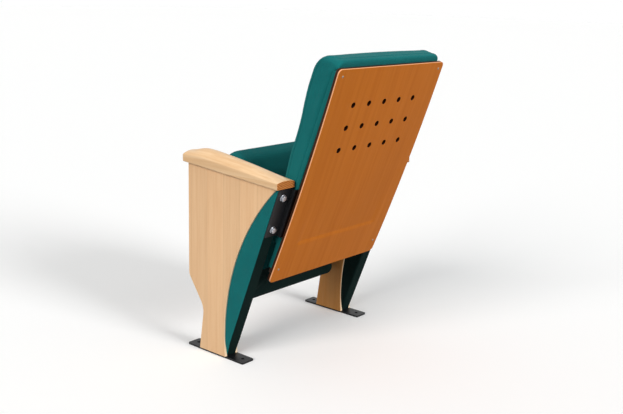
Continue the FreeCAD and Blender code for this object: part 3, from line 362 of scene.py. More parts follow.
def armrest_wood(end=False):
    """Solid beech, grain lengthways; the end shows its rings and pores."""
    f = Finish("beech_end_grain" if end else "beech_solid", 0.6 if end else 0.45,
               coat=0.0 if end else 0.06, specular=0.25)
    if end:
        rings = f.add("TexWave", {"Vector": f.mapped((1, 0, 1), (0, 0.5, 0)), "Scale": 55.0,
                                  "Distortion": 6.0, "Detail": 3.0, "Detail Scale": 1.4},
                      bands_direction="Z").outputs[1]
        pores = f.noise(f.mapped((900, 200, 900)), 1.0, 2.0)
        colour = f.mix(rings, linear(150, 86, 34), linear(206, 132, 66))
        factor = f.math("MULTIPLY_ADD", f.ramp(pores, 0.5, 0.7), -0.3, 1.0)
        return f.done(f.shade(colour, factor), None, f.bump(pores, 0.0003, 0.5))
    grain = f.noise(f.mapped((75, 2.6, 75), (ARM_SLOPE, 0, 0)), 1.0, 6.0, 0.6, 0.5)
    fleck = f.noise(f.mapped((600, 60, 600)), 1.0, 2.0)
    broad = f.noise(f.mapped((10, 2, 10), shift=(0.4, 0, 0)), 1.0, 2.0)
    colour = f.mix(f.ramp(grain, 0.30, 0.75), linear(232, 197, 155), linear(218, 176, 130))
    factor = f.math("MULTIPLY_ADD", broad, 0.14, 0.93)
    fleck = f.math("MULTIPLY_ADD", f.ramp(fleck, 0.60, 0.75), -0.08, 1.0)
    factor = f.math("MULTIPLY", factor, fleck)
    return f.done(f.shade(colour, factor), f.math("MULTIPLY_ADD", grain, 0.14, 0.32),
                  f.bump(grain, 0.0002, 0.5))


PANEL_HALF, PANEL_HIGH, PANEL_THICK, PANEL_BULGE = 0.2598, 0.706, 0.012, 0.0074


def back_wood():
    """Stained plywood: grain up the slope, painted shade on the hole walls, pale plies at the edges lightened as a
    painted highlight, and painted shade deeper in the edge.
    """
    f = Finish("stained_ply", 0.5, coat=0.03, specular=0.12)
    turned = f.add("VectorRotate", {"Vector": f.place, "Center": (0, BACK_Y, BACK_LOW),
                                    "Axis": (1, 0, 0), "Angle": LEAN}).outputs[0]
    local = f.add("VectorMath", {0: turned, 1: (0, BACK_Y, BACK_LOW)},
                  operation="SUBTRACT").outputs[0]
    stretched = f.add("Mapping", {0: local, "Scale": (60, 20, 2.0)}).outputs[0]
    grain = f.noise(stretched, 1.0, 6.0, 0.62, 0.6)
    broad = f.noise(f.add("Mapping", {0: local, "Scale": (6, 5, 1.6)}).outputs[0], 1.0, 2.0)
    colour = f.mix(f.ramp(grain, 0.2, 0.85), linear(206, 117, 30), linear(194, 105, 22))
    factor = f.math("MULTIPLY_ADD", broad, 0.22, 0.89)
    across, up = f.axis("X", local), f.axis("Z", local)
    turned_normal = f.add("VectorRotate", {"Vector": f.add("NewGeometry").outputs["True Normal"],
                                           "Axis": (1, 0, 0), "Angle": LEAN}).outputs[0]
    edge = f.ramp(f.math("ABSOLUTE", f.axis("Y", turned_normal)), 0.9, 0.6)
    outer = f.ramp(f.math("ABSOLUTE", across), 0.236, 0.238)
    rim = f.math("MAXIMUM", outer, f.math("MAXIMUM", f.ramp(up, 0.670, 0.674),
                                          f.ramp(up, 0.040, 0.036)))
    # The edge shows pale plies, lightened as a painted highlight.
    plies = f.math("FRACT", f.math("MULTIPLY", f.axis("Y", local), 650.0))
    edge_plies_and_painted_light = f.mix(f.ramp(plies, 0.4, 0.6), linear(250, 186, 140), linear(232, 158, 112))
    share = f.math("MULTIPLY_ADD", up, -2 / PANEL_HIGH, 1.0)
    rear_face = f.math("MULTIPLY_ADD", f.math("MULTIPLY", share, share), -PANEL_BULGE, PANEL_BULGE)
    # Deeper than about 4 mm from the rear face the edge turns dark brown: painted shade.
    within = f.math("SUBTRACT", rear_face, f.axis("Y", local))
    edge_plies_and_painted_light = f.mix(f.ramp(within, 0.0032, 0.0044), edge_plies_and_painted_light, linear(52, 26, 12))
    colour = f.mix(f.math("MULTIPLY", edge, rim), f.shade(colour, factor), edge_plies_and_painted_light)
    # The walls of the holes are painted shade.
    painted_hole_shade = f.math("MULTIPLY", edge, f.math("SUBTRACT", 1.0, rim))
    colour = f.mix(painted_hole_shade, colour, linear(46, 20, 8))
    return f.done(colour, f.math("MULTIPLY_ADD", grain, 0.12, 0.46), f.bump(grain, 0.00012, 0.5))


def dark_ply():
    """Dark stained board behind the panel and under the seat."""
    f = Finish("dark_ply", 0.6)
    grain = f.noise(f.mapped((60, 60, 4)), 1.0, 5.0)
    colour = f.mix(grain, linear(30, 20, 15), linear(58, 40, 28))
    return f.done(colour, None, f.bump(grain, 0.0002, 0.5))


finishes = {
    "side": side_wood("beech_veneer", linear(236, 195, 151), linear(229, 184, 139)),
    # The inner panels' browner, more orange beech is painted shade and warm bounce light from the back panel.
    "inner_side_painted_bounce": side_wood("beech_inner_painted_bounce", linear(226, 158, 88), linear(214, 142, 72)),
    "armrest": armrest_wood(),
    "armrest_end": armrest_wood(end=True),
    "back": back_wood(),
    "board": dark_ply(),
}
print("wood finishes:", len(finishes))

# %% [markdown]
# ### Cloth, steel, nylon and rubber
# The cloth is a close weave, about 1.1 mm from thread to thread, with a soft sheen. A nearly
# black cloth covers the rear faces and inner crescents of the standards, and on the seat's
# lower end the same dark cloth is painted shade. Steel parts are powder coated, or zinc plated.

# %% Other finishes
THREAD = 0.0011


def cloth(name, dark, light, sheen=0.04):
    """Close weave: height = sin x sin z + sin y sin z + sin x sin y, one wave per thread."""
    f = Finish(name, 0.9, sheen=sheen, specular=0.08)
    f.shader.inputs["Sheen Roughness"].default_value = 0.45
    waves = [f.math("SINE", f.math("MULTIPLY", f.axis(letter), 2 * math.pi / THREAD))
             for letter in "XYZ"]
    weave = f.math("ADD", f.math("MULTIPLY", waves[0], waves[2]),
                   f.math("ADD", f.math("MULTIPLY", waves[1], waves[2]),
                          f.math("MULTIPLY", waves[0], waves[1])))
    fluff = f.noise(f.place, 420.0, 3.0)
    patch = f.noise(f.place, 9.0, 3.0)
    share = f.math("MULTIPLY_ADD", weave, 0.16, f.math("MULTIPLY_ADD", fluff, 0.5, 0.1))
    share = f.math("ADD", share, f.math("MULTIPLY_ADD", patch, 0.4, -0.1))
    colour = f.mix(share, dark, light)
    first = f.bump(weave, 0.00025, 0.55)
    return f.done(colour, None, f.bump(fluff, 0.0004, 0.35, first))


def steel(name, colour, roughness, metallic, speckle, grain=900.0, specular=0.5):
    """Metal or powder coat with a fine texture and slightly uneven gloss."""
    f = Finish(name, roughness, metallic=metallic, specular=specular)
    fine = f.noise(f.place, grain, 3.0)
    wide = f.noise(f.place, 24.0, 3.0)
    share = f.math("MULTIPLY_ADD", wide, 0.6, f.math("MULTIPLY_ADD", fine, 0.4, 0.0))
    darker = tuple(0.75 * value for value in colour[:3]) + (1.0,)
    lighter = tuple(min(1.0, 1.2 * value) for value in colour[:3]) + (1.0,)
    gloss = f.math("MULTIPLY_ADD", wide, 0.16, roughness - 0.08)
    return f.done(f.mix(share, darker, lighter), gloss, f.bump(fine, speckle, 0.6))


finishes.update({
    "cloth": cloth("teal_cloth", linear(10, 88, 91), linear(28, 128, 127)),
    # The nearly black cloth is the real cover of the standards and painted shade on the seat's lower end.
    "dark_cloth_and_shade": cloth("teal_dark_cloth_and_shade", linear(8, 24, 22), linear(14, 36, 33), 0.0),
    "welt": cloth("teal_welt", linear(10, 74, 76), linear(24, 104, 100)),
    "black": steel("powder_black", linear(15, 16, 19), 0.45, 0.0, 0.00012, specular=0.3),
    "zinc": steel("zinc_plate", linear(196, 199, 206), 0.30, 1.0, 0.00003, 300.0),
    "dull_zinc": steel("dull_zinc", linear(150, 138, 124), 0.5, 1.0, 0.00003, 300.0),
    "spring": steel("oiled_spring", linear(120, 122, 128), 0.36, 1.0, 0.00003, 300.0),
    "nylon": steel("natural_nylon", linear(226, 222, 210), 0.55, 0.0, 0.00005, 500.0),
    "rubber": steel("black_rubber", linear(30, 30, 31), 0.75, 0.0, 0.0001, 500.0),
})
by_slot = {
    "beech_side": "side", "beech_armrest": "armrest", "moulded_ply": "back",
    "backing_ply": "board", "teal_fabric": "cloth", "black_steel": "black",
    "zinc_steel": "zinc", "spring_steel": "spring", "nylon": "nylon",
    "black_rubber": "rubber",
}
for subpart in frame["record"]["subparts"]:
    slots = frame["nodes"][subpart["node"]].material_slots
    for slot in slots:
        slot.material = finishes[by_slot[subpart["material_slot"]]]
for name, _ in SIDES:
    for slot in frame["nodes"][name + "_inner_panel"].material_slots:
        slot.material = finishes["inner_side_painted_bounce"]
print("finishes in all:", len(finishes))


def dress(piece, *names):
    """Give a new piece its finishes, in the order of its material numbers."""
    for name in names:
        piece.data.materials.append(finishes[name])


# %% [markdown]
# ## The armrests
# Each armrest is one smooth block. Its height swells under the palm and thins to the rear,
# its top is crowned, and its nose is rounded. The section is a straight-sided outline whose
# corners are softened by averaging each point with its neighbours.

# %% Armrests
ARM_HALF, ARM_OUT = 0.037, 0.002
NOSE, TAIL, NOSE_ROUND = -0.1308, 0.2700, 0.0055
HEIGHT_AT = np.array([-0.131, -0.121, -0.105, -0.085, -0.060, -0.030, 0.0, 0.04, 0.08, 0.12,
                      0.17, 0.22, 0.27])
FULL = np.array([31.5, 34.5, 38.0, 44.5, 50.5, 51.8, 51.0, 48.8, 46.0, 42.8,
                 37.8, 31.0, 23.8]) / 1000
EAVES = np.array([23, 24, 25, 26.5, 28, 28.4, 28, 27.2, 26.2, 25,
                  23, 21.3, 19.5]) / 1000


def smooth_table(places, values, at):
    """Cubic through a table: each piece is a Hermite curve with the table's own slopes."""
    slopes = np.gradient(values, places)
    spot = np.clip(np.searchsorted(places, at) - 1, 0, len(places) - 2)
    run = places[spot + 1] - places[spot]
    t = (at - places[spot]) / run
    return ((2 * t ** 3 - 3 * t ** 2 + 1) * values[spot]
            + (t ** 3 - 2 * t ** 2 + t) * run * slopes[spot]
            + (3 * t ** 2 - 2 * t ** 3) * values[spot + 1]
            + (t ** 3 - t ** 2) * run * slopes[spot + 1])


def armrest(side):
    """Rings along Y: flat underside, upright sides, crowned top z = h - (h - e)(x / a)^2."""
    nose = NOSE + NOSE_ROUND * (1 - np.cos(np.linspace(0, math.pi / 2, 9)))
    along = np.concatenate([nose, np.linspace(NOSE + NOSE_ROUND, TAIL - 0.001, 70)[1:], [TAIL]])
    close = np.clip((NOSE + NOSE_ROUND - along) / NOSE_ROUND, 0, 1)
    inset = NOSE_ROUND * (1 - np.sqrt(1 - close ** 2))
    inset[-1] = 0.0008
    full = smooth_table(HEIGHT_AT, FULL, along)
    eaves = smooth_table(HEIGHT_AT, EAVES, along)
    rings = []
    for y, pull, high, low in zip(along, inset, full, eaves):
        half = ARM_HALF - pull
        spread = np.linspace(-half, half, 25)
        crown = (high - pull) - (high - low) * (spread / half) ** 2
        top = np.stack([spread[::-1], crown[::-1]], -1)
        outline = np.vstack([[-half, pull], [half, pull], top])
        ring = blur_ring(even_ring(outline, 96), 1)
        x = side * (HALF_PITCH + ARM_OUT) + ring[:, 0]
        z = arm_line(y) + ring[:, 1]
        rings.append(np.stack([x, np.full_like(x, y), z], -1))
    return stack(np.array(rings))


for name, side in SIDES:
    points, faces = armrest(side)
    piece = piece_from(name + "_arm_top", [(points, faces)])
    dress(piece, "armrest", "armrest_end")
    ends = np.array([points[list(face), 1].min() > TAIL - 0.0012 for face in
                     [polygon.vertices for polygon in piece.data.polygons]])
    piece.data.polygons.foreach_set("material_index", ends.astype(np.int32))
    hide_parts(name + "_armrest")
    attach(piece, "standards")
print("armrest faces:", len(faces))

# %% [markdown]
# ## The upholstered standards
# Between the two wood panels of a standard lies a padded board. It shows as a crescent on
# each side and as a straight rear face, which is covered in a darker cloth. Its surface is a
# function of two numbers: the place round the section, and the share of the height.

# %% Upholstered standards
CORE_HALF, PAD_HALF = 0.0188, 0.0240
WOOD_FOOT, WOOD_TOP, WOOD_ROUND = 0.0500, 0.2570, 0.690
SHADOW_GAP = 0.0004


def wood_edge(up):
    """Y of the panels' curved rear edge: an arc of radius R through the foot and the top."""
    low = np.array([WOOD_FOOT, FLOOR_TOP])
    high = np.array([WOOD_TOP, arm_line(WOOD_TOP)])
    chord = high - low
    span = np.linalg.norm(chord)
    normal = np.array([chord[1], -chord[0]]) / span
    centre = (low + high) / 2 + normal * math.sqrt(WOOD_ROUND ** 2 - span ** 2 / 4)
    return centre[0] - np.sqrt(WOOD_ROUND ** 2 - (up - centre[1]) ** 2)


LEG = np.array([(-0.113, 0.700), (-0.113, 0.262), (-0.111, 0.246), (-0.105, 0.233),
                (-0.060, 0.167), (-0.050, 0.152), (-0.0465, 0.140), (-0.048, 0.118),
                (-0.064, 0.006)])


def leg_edge(up):
    """Y of the leg's front edge, read from its corners."""
    return np.interp(up, LEG[::-1, 1], LEG[::-1, 0])


def standard_pad(side):
    """Rings up the standard; each is front, side, lip, crescent, rear face and back again."""
    share = np.linspace(0, 1, 130)[:, None]
    bend = np.linspace(0, math.pi / 2, 8)
    lip = np.linspace(0, 1, 22) ** 1.7
    # Half a section as (distance from the middle, share of the way from wood edge to rear)
    swell = (1 - (1 - np.minimum(lip / 0.03, 1)) ** 2) ** 0.5
    width = np.concatenate([[0.0, CORE_HALF * 0.9], np.full(3, CORE_HALF),
                            CORE_HALF + (PAD_HALF - CORE_HALF) * swell])
    kind = np.concatenate([[-2.0, -2.0], [-2.0, -1.5, -1.0], lip])
    corner = 0.006
    rear_width = PAD_HALF - corner * (1 - np.cos(bend))
    rear_in = corner * (1 - np.sin(bend))
    up = FLOOR_TOP + share * (ARM_UNDER - FLOOR_TOP) * 0.97
    columns = len(width) + len(bend) + 3

    def lay(height):
        """The Y of every column for a given array of heights."""
        front, wood, rear = leg_edge(height), wood_edge(height) + SHADOW_GAP, rear_line(height)
        wood = np.minimum(wood, rear - 0.001)
        place = np.empty(height.shape)
        for column in range(columns):
            if column < len(width):
                mark = kind[column]
                if mark < 0:
                    between = mark + 2
                    place[:, column] = (front + (wood - front) * between)[:, column]
                else:
                    end = np.maximum(rear - corner, wood)
                    place[:, column] = (wood + (end - wood) * mark)[:, column]
            elif column < len(width) + len(bend):
                step = rear_in[column - len(width)]
                inner = np.minimum(step, (rear - wood) * step / corner)
                place[:, column] = (rear - inner)[:, column]
            else:
                place[:, column] = rear[:, column]
        return place

    height = np.repeat(up, columns, axis=1)
    for _ in range(6):
        along = lay(height)
        height = FLOOR_TOP + share * (arm_line(along) - 0.0002 - FLOOR_TOP)
    along = lay(height)
    crescent = np.clip((rear_line(height) - wood_edge(height)) / 0.02, 0, 1)
    across = np.concatenate([width, rear_width, PAD_HALF * np.array([0.55, 0.3, 0.0])])
    across = np.repeat(across[None, :], len(share), axis=0)
    proud = np.maximum(across - CORE_HALF, 0)
    across = np.where(across > CORE_HALF, CORE_HALF + proud * crescent, across)
    ripple = 0.00025 * np.sin(height * 61 + along * 40) * np.sin(height * 23 - along * 90)
    across = np.where(proud > 0.004, across + ripple, across)
    right = np.stack([side * HALF_PITCH + across, along, height], -1)
    left = np.stack([side * HALF_PITCH - across, along, height], -1)[:, ::-1][:, 1:-1]
    return stack(np.concatenate([right, left], axis=1))


for name, side in SIDES:
    points, faces = standard_pad(side)
    piece = piece_from(name + "_side_pad", [(points, faces)], 50)
    dress(piece, "cloth", "dark_cloth_and_shade")
    normals = np.empty(len(piece.data.polygons) * 3)
    piece.data.polygons.foreach_get("normal", normals)
    normals = normals.reshape(-1, 3)
    dark = (normals[:, 1] > 0.70) | (side * normals[:, 0] < -0.3)
    piece.data.polygons.foreach_set("material_index", dark.astype(np.int32))
    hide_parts(name + "_side_core")
    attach(piece, "standards")
print("standard pad points:", len(points))

# %% [markdown]
# ## The cushions
# The seat cushion starts from its solid, and the back cushion from a stack of rings. The skin
# is remade with even faces and drawn in a little. Then it is treated as cloth with air behind
# it, so it swells between the places that hold it.
# No point moves further than a cap. Seams are pressed in afterwards and a welt is laid on them.

# %% Cushion tools


def taken(piece):
    """The mesh of a piece with all its modifiers, as a mesh of its own."""
    graph = bpy.context.evaluated_depsgraph_get()
    return bpy.data.meshes.new_from_object(piece.evaluated_get(graph))


def settle(piece):
    """Keep the result of the piece's modifiers and drop the modifiers."""
    mesh = taken(piece)
    piece.modifiers.clear()
    piece.data = mesh


def even_skin(mesh, name, voxel, shrink, rounds):
    """A copy of a closed mesh with even faces, its edges softened, drawn in along its normals."""
    piece = link(name, mesh.copy())
    piece.data.materials.clear()
    remesh = piece.modifiers.new("even", "REMESH")
    remesh.mode = "VOXEL"
    remesh.voxel_size = voxel
    settle(piece)
    soften = piece.modifiers.new("soft", "SMOOTH")
    soften.iterations = rounds
    soften.factor = 0.5
    settle(piece)
    write_points(piece.data, read_points(piece.data) - shrink * read_normals(piece.data))
    return piece


def inflate(piece, held, pressure, cap):
    """Twenty frames as cloth with pressure; held points stay, the rest move by the cap at most."""
    start = read_points(piece.data)
    group = piece.vertex_groups.new(name="held")
    group.add(np.flatnonzero(held).tolist(), 1.0, "REPLACE")
    cloth = piece.modifiers.new("cloth", "CLOTH")
    cloth.settings.quality = 4
    cloth.settings.use_pressure = True
    cloth.settings.uniform_pressure_force = pressure
    cloth.settings.effector_weights.gravity = 0
    cloth.settings.vertex_group_mass = "held"
    cloth.settings.tension_stiffness = 20
    cloth.settings.compression_stiffness = 20
    cloth.settings.bending_stiffness = 2
    cloth.point_cache.frame_start = 1
    cloth.point_cache.frame_end = 20
    for number in range(1, 21):
        bpy.context.scene.frame_set(number)
    swollen = taken(piece)
    piece.modifiers.clear()
    move = read_points(swollen) - start
    far = np.linalg.norm(move, axis=1, keepdims=True)
    write_points(piece.data, start + move * cap / np.sqrt(cap ** 2 + far ** 2))
    bpy.data.meshes.remove(swollen)
    bpy.context.scene.frame_set(1)
    print(piece.name, "moved by up to %.1f mm" % (far.max() * 1000))
    piece.vertex_groups.clear()
    soften = piece.modifiers.new("soft", "SMOOTH")
    soften.iterations = 3
    finer = piece.modifiers.new("finer", "SUBSURF")
    finer.levels = 1
    settle(piece)


print("cloth tools ready")

# %% Seam tools


def near_line(points, path):
    """Distance of every point from the nearest point of a path."""
    tree = KDTree(len(path))
    for index, point in enumerate(path):
        tree.insert(point, index)
    tree.balance()
    return np.array([tree.find(point)[2] for point in points])


def press(piece, path, width, depth):
    """Press a seam in: each point goes in by depth * exp(-(distance / width)^2)."""
    points = read_points(piece.data)
    away = near_line(points, path)
    move = depth * np.exp(-(away / width) ** 2)
    write_points(piece.data, points - move[:, None] * read_normals(piece.data))


def rounded_path(left, right, low, high, corner, foot_corner, step):
    """Points and outward directions on a rounded rectangle, anticlockwise from low middle."""
    marks = [
        ((right - foot_corner, low + foot_corner), foot_corner, -90),
        ((right - corner, high - corner), corner, 0),
        ((left + corner, high - corner), corner, 90),
        ((left + foot_corner, low + foot_corner), foot_corner, 180),
    ]
    points, outward = [], []
    for centre, radius, begin in marks:
        angles = np.radians(begin + np.linspace(0, 90, 16))
        ring = np.stack([np.cos(angles), np.sin(angles)], -1)
        points.append(np.array(centre) + radius * ring)
        outward.append(ring)
    points, outward = np.vstack(points), np.vstack(outward)
    closed = np.vstack([points, points[:1]])
    facing = np.vstack([outward, outward[:1]])
    walked = np.concatenate([[0], np.cumsum(np.linalg.norm(np.diff(closed, axis=0), axis=1))])
    steps = np.arange(0, walked[-1], step)
    spots = np.stack([np.interp(steps, walked, closed[:, axis]) for axis in (0, 1)], -1)
    ways = np.stack([np.interp(steps, walked, facing[:, axis]) for axis in (0, 1)], -1)
    return spots, unit(ways)


def snap(piece, starts, ways):
    """Where rays from outside first meet the piece."""
    tree = BVHTree.FromPolygons(read_points(piece.data).tolist(),
                                [tuple(p.vertices) for p in piece.data.polygons])
    hits = []
    for start, way in zip(starts, ways):
        hit = tree.ray_cast(Vector(start), Vector(-way))
        hits.append(tuple(hit[0]) if hit[0] else tuple(start - 0.03 * way))
    return np.array(hits)


print("seam tools ready")

# %% [markdown]
# ### The seat cushion
# Its underside lies on the board and stays where it is. A closed seam runs round its edge.
# The end that hangs down when the seat is tipped up gets the nearly black cloth: painted shade.

# %% Seat cushion
seat_pad = even_skin(frame["nodes"]["seat_cushion"].data, "seat_pad", 0.006, 0.0010, 6)
points = read_points(seat_pad.data)
depth = points[:, 1] - PIVOT.y
inflate(seat_pad, depth < 0.014, 4.0, 0.008)
spots, ways = rounded_path(-0.236, 0.236, -0.174, 0.324, 0.040, 0.036, 0.003)
SEAM_DEPTH, PAINTED_SHADE_TOP = 0.002, -0.060
facing = on_seat(ways[:, 0], 0, ways[:, 1]) - on_seat(0, 0, 0)
starts = on_seat(spots[:, 0], SEAM_DEPTH, spots[:, 1]) + 0.04 * facing
seat_seam = snap(seat_pad, starts, facing)
seat_seam = blur_ring(seat_seam, 6)
press(seat_pad, seat_seam, 0.005, 0.0014)
dress(seat_pad, "cloth", "dark_cloth_and_shade")
seat_pad.data.shade_smooth()
corners = np.empty(len(seat_pad.data.polygons) * 4, dtype=np.int32)
seat_pad.data.polygons.foreach_get("vertices", corners)
middles = read_points(seat_pad.data)[corners.reshape(-1, 4)].mean(1)
# The end that hangs down gets the nearly black cloth as painted shade between the seat and the back.
painted_shade_end = middles[:, 2] - PIVOT.z < PAINTED_SHADE_TOP
seat_pad.data.polygons.foreach_set("material_index", painted_shade_end.astype(np.int32))
seat_welt = piece_from("seat_welt", [tube(seat_seam - 0.0012 * facing, facing, 0.0016, True)])
dress(seat_welt, "welt")
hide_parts("seat_cushion")
for piece in (seat_pad, seat_welt):
    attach(piece, "seat")
print("seat cushion faces:", len(seat_pad.data.polygons))

# %% [markdown]
# ### The back cushion
# It is slim at the waist and full at the head, and its rear rests on the inner board. The
# welt runs up both sides and over the top, a little behind the front edge. Its cloth is
# drawn over the board's edge, which the wrap shows.

# %% Back cushion
BACK_HALF, BACK_FOOT, BACK_TOP, TOP_CORNER, FOOT_CORNER = 0.251, 0.118, 0.726, 0.028, 0.014
BOARD_TOP, REST_REAR, CAP_REAR = 0.693, -0.0256, -0.0126
FRONT_AT = np.array([118, 200, 300, 349, 381, 413, 447, 510, 568, 629, 660, 681]) / 1000
FRONT = -np.array([80, 81, 83, 87, 90, 92, 92, 95, 102, 106, 105, 103]) / 1000
FRONT_EDGE, REAR_EDGE, MIDDLE_CROWN, TOP_ROLL, FOOT_ROLL = 0.014, 0.005, 0.005, 0.056, 0.026


def back_form():
    """Rings up the back, each a rounded oblong: half width w(s), front f(s), rear r(s).

    w follows the corner circles, and f rolls back at the top and at the foot."""
    end = np.linspace(0, math.pi / 2, 14)
    low_roll = BACK_FOOT + FOOT_ROLL * (1 - np.cos(end))
    high_roll = BACK_TOP - 0.0004 - TOP_ROLL * (1 - np.sin(end))
    rise = np.concatenate([low_roll, np.arange(BACK_FOOT + FOOT_ROLL + 0.008, high_roll[0], 0.008),
                           high_roll])
    above = np.clip(rise - (BACK_TOP - TOP_CORNER), 0, TOP_CORNER)
    below = np.clip(BACK_FOOT + FOOT_CORNER - rise, 0, FOOT_CORNER)
    half = (BACK_HALF - TOP_CORNER + np.sqrt(TOP_CORNER ** 2 - above ** 2)
            - FOOT_CORNER + np.sqrt(FOOT_CORNER ** 2 - below ** 2))
    front = smooth_table(FRONT_AT, FRONT, rise)
    over = np.clip(rise - (BACK_TOP - TOP_ROLL), 0, TOP_ROLL)
    under = np.clip(BACK_FOOT + FOOT_ROLL - rise, 0, FOOT_ROLL)
    front = (front + TOP_ROLL - np.sqrt(TOP_ROLL ** 2 - over ** 2)
             + FOOT_ROLL - np.sqrt(FOOT_ROLL ** 2 - under ** 2))
    rear = np.where(rise > BOARD_TOP, CAP_REAR, REST_REAR)
    corner = np.linspace(0, math.pi / 2, 7)
    rings = []
    for w, f, r, s_up in zip(half, front, rear, rise):
        spread = np.linspace(-1, 1, 41)
        ahead = np.stack([(w - FRONT_EDGE) * spread, f - MIDDLE_CROWN * (1 - spread ** 2)], -1)
        turn_out = np.stack([w - FRONT_EDGE + FRONT_EDGE * np.sin(corner),
                             f + FRONT_EDGE * (1 - np.cos(corner))], -1)[1:]
        turn_in = np.stack([w - REAR_EDGE * (1 - np.cos(corner)),
                            r - REAR_EDGE * (1 - np.sin(corner))], -1)
        half_ring = np.vstack([ahead, turn_out, turn_in])
        other = turn_in[::-1] * [-1, 1]
        last = turn_out[::-1] * [-1, 1]
        ring = np.vstack([half_ring, other, last])
        rings.append(on_back(ring[:, 0], ring[:, 1], s_up))
    return stack(np.array(rings))


form = piece_from("back_form", [back_form()])
print("back form points:", len(form.data.vertices))

# %% Swell the back cushion and lay its welt
back_pad = even_skin(form.data, "back_pad", 0.0062, 0.0006, 4)
bpy.data.objects.remove(form)
points = read_points(back_pad.data)
out = ((points[:, 1] - BACK_Y) * math.cos(LEAN) - (points[:, 2] - BACK_LOW) * math.sin(LEAN))
inflate(back_pad, out > -0.031, 4.0, 0.005)
spots, ways = rounded_path(-BACK_HALF, BACK_HALF, BACK_FOOT, BACK_TOP, TOP_CORNER, 0.020, 0.003)
line = smooth_table(FRONT_AT, FRONT, np.minimum(spots[:, 1], FRONT_AT[-1]))
over = np.clip(spots[:, 1] - (BACK_TOP - TOP_ROLL), 0, TOP_ROLL)
welt_out = line + TOP_ROLL - np.sqrt(TOP_ROLL ** 2 - over ** 2) + 0.016
facing = on_back(ways[:, 0], 0, ways[:, 1]) - on_back(0, 0, 0)
starts = on_back(spots[:, 0], welt_out, spots[:, 1]) + 0.04 * facing
back_seam = blur_ring(snap(back_pad, starts, facing), 6)
press(back_pad, back_seam, 0.004, 0.0010)
dress(back_pad, "cloth")
back_pad.data.shade_smooth()
back_welt = piece_from("back_welt", [tube(back_seam - 0.0009 * facing, facing, 0.0014, True)])
dress(back_welt, "cloth")
print("welt points:", len(back_welt.data.vertices))

# %% The cloth drawn over the board's edge
WRAP_REAR, WRAP_FRONT = -0.0145, -0.0300
spots, ways = rounded_path(-0.2483, 0.2483, 0.030, 0.694, 0.006, 0.006, 0.004)
keep = spots[:, 1] > 0.040
order = np.argsort(np.unwrap(np.arctan2(spots[:, 0], spots[:, 1] - 0.35))[keep])
spots, ways = spots[keep][order], ways[keep][order]
band = np.array([(0.0, WRAP_FRONT), (0.0008, -0.0220), (0.0, -0.0158), (-0.0018, WRAP_REAR),
                 (-0.010, WRAP_REAR + 0.0003), (-0.010, -0.0157), (-0.0018, -0.0158),
                 (-0.0020, WRAP_FRONT)])
band = blur_ring(even_ring(band, 28), 1)
rings = on_back(spots[:, None, 0] + ways[:, None, 0] * band[None, :, 0],
                np.broadcast_to(band[None, :, 1], (len(spots), len(band))),
                spots[:, None, 1] + ways[:, None, 1] * band[None, :, 0])
back_wrap = piece_from("back_wrap", [stack(rings)], 60)
dress(back_wrap, "cloth")
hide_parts("back_cushion")
for piece in (back_pad, back_welt, back_wrap):
    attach(piece, "standards")
print("back cushion faces:", len(back_pad.data.polygons))

# %% [markdown]
# ## The moulded back panel
# It is drawn flat as an outline with fifteen holes and filled with triangles. Then it is
# bowed, given its thickness, and the pressed hollow with its lower lip is laid into it.

# %% Back panel
PANEL_TOP_CORNER, PANEL_LOW_CORNER, HOLE_RADIUS = 0.013, 0.016, 0.0085
HOLE_PITCH, HOLE_ROW, HOLE_TOP = 0.0742, 0.0723, 0.113
LIP_UP, LIP_HALF, LIP_WIDE, HOLLOW = 0.1315, 0.186, 0.005, 0.0020


def bow(up):
    """Rear face of the panel: n = b (1 - (1 - 2 s / L)^2)."""
    return PANEL_BULGE * (1 - (1 - 2 * up / PANEL_HIGH) ** 2)


def hollow(across, up):
    """Depth of the pressed field: full above the lip, fading upward and at its sides."""
    above = np.clip((up - LIP_UP) / LIP_WIDE, 0, 1)
    fade = np.clip((0.34 - up) / 0.20, 0, 1)
    beside = np.clip((LIP_HALF + 0.010 - np.abs(across)) / 0.014, 0, 1)
    return HOLLOW * above * fade ** 1.5 * beside


def panel_plan():
    """Flat points and triangles of the outline, its holes left open."""
    outline, _ = rounded_path(-PANEL_HALF, PANEL_HALF, 0, PANEL_HIGH, PANEL_TOP_CORNER,
                              PANEL_LOW_CORNER, 0.004)
    centres = np.array([((column - 2) * HOLE_PITCH, PANEL_HIGH - HOLE_TOP - row * HOLE_ROW)
                        for row in range(3) for column in range(5)])
    angles = np.linspace(0, 2 * math.pi, 32, endpoint=False)
    circle = HOLE_RADIUS * np.stack([np.cos(angles), np.sin(angles)], -1)
    grid_x, grid_s = np.meshgrid(np.linspace(-0.250, 0.250, 51), np.linspace(0.010, 0.696, 69))
    inside = np.stack([grid_x.ravel(), grid_s.ravel()], -1)
    away = np.linalg.norm(inside[:, None] - centres[None], axis=2).min(1)
    off_lip = np.abs(inside[:, 1] - LIP_UP - LIP_WIDE / 2) > 0.006
    inside = inside[(away > HOLE_RADIUS + 0.004) & off_lip]
    lip_x = np.linspace(-0.250, 0.250, 101)
    lips = [np.stack([lip_x, np.full(101, level)], -1) for level in (LIP_UP, LIP_UP + LIP_WIDE)]
    loops = [outline] + [centre + circle for centre in centres]
    points, edges, shift = [], [], 0
    for loop in loops:
        points.append(loop)
        edges += [(shift + i, shift + (i + 1) % len(loop)) for i in range(len(loop))]
        shift += len(loop)
    points = np.vstack(points + lips + [inside])
    flat, _, faces, _, _, _ = delaunay_2d_cdt([Vector(p) for p in points], edges, [], 1, 1e-7)
    flat = np.array([tuple(p) for p in flat])
    middles = np.array([flat[list(face)].mean(0) for face in faces])
    gap = np.linalg.norm(middles[:, None] - centres[None], axis=2).min(1)
    return flat, [list(face) for face, far in zip(faces, gap) if far > HOLE_RADIUS * 0.99]


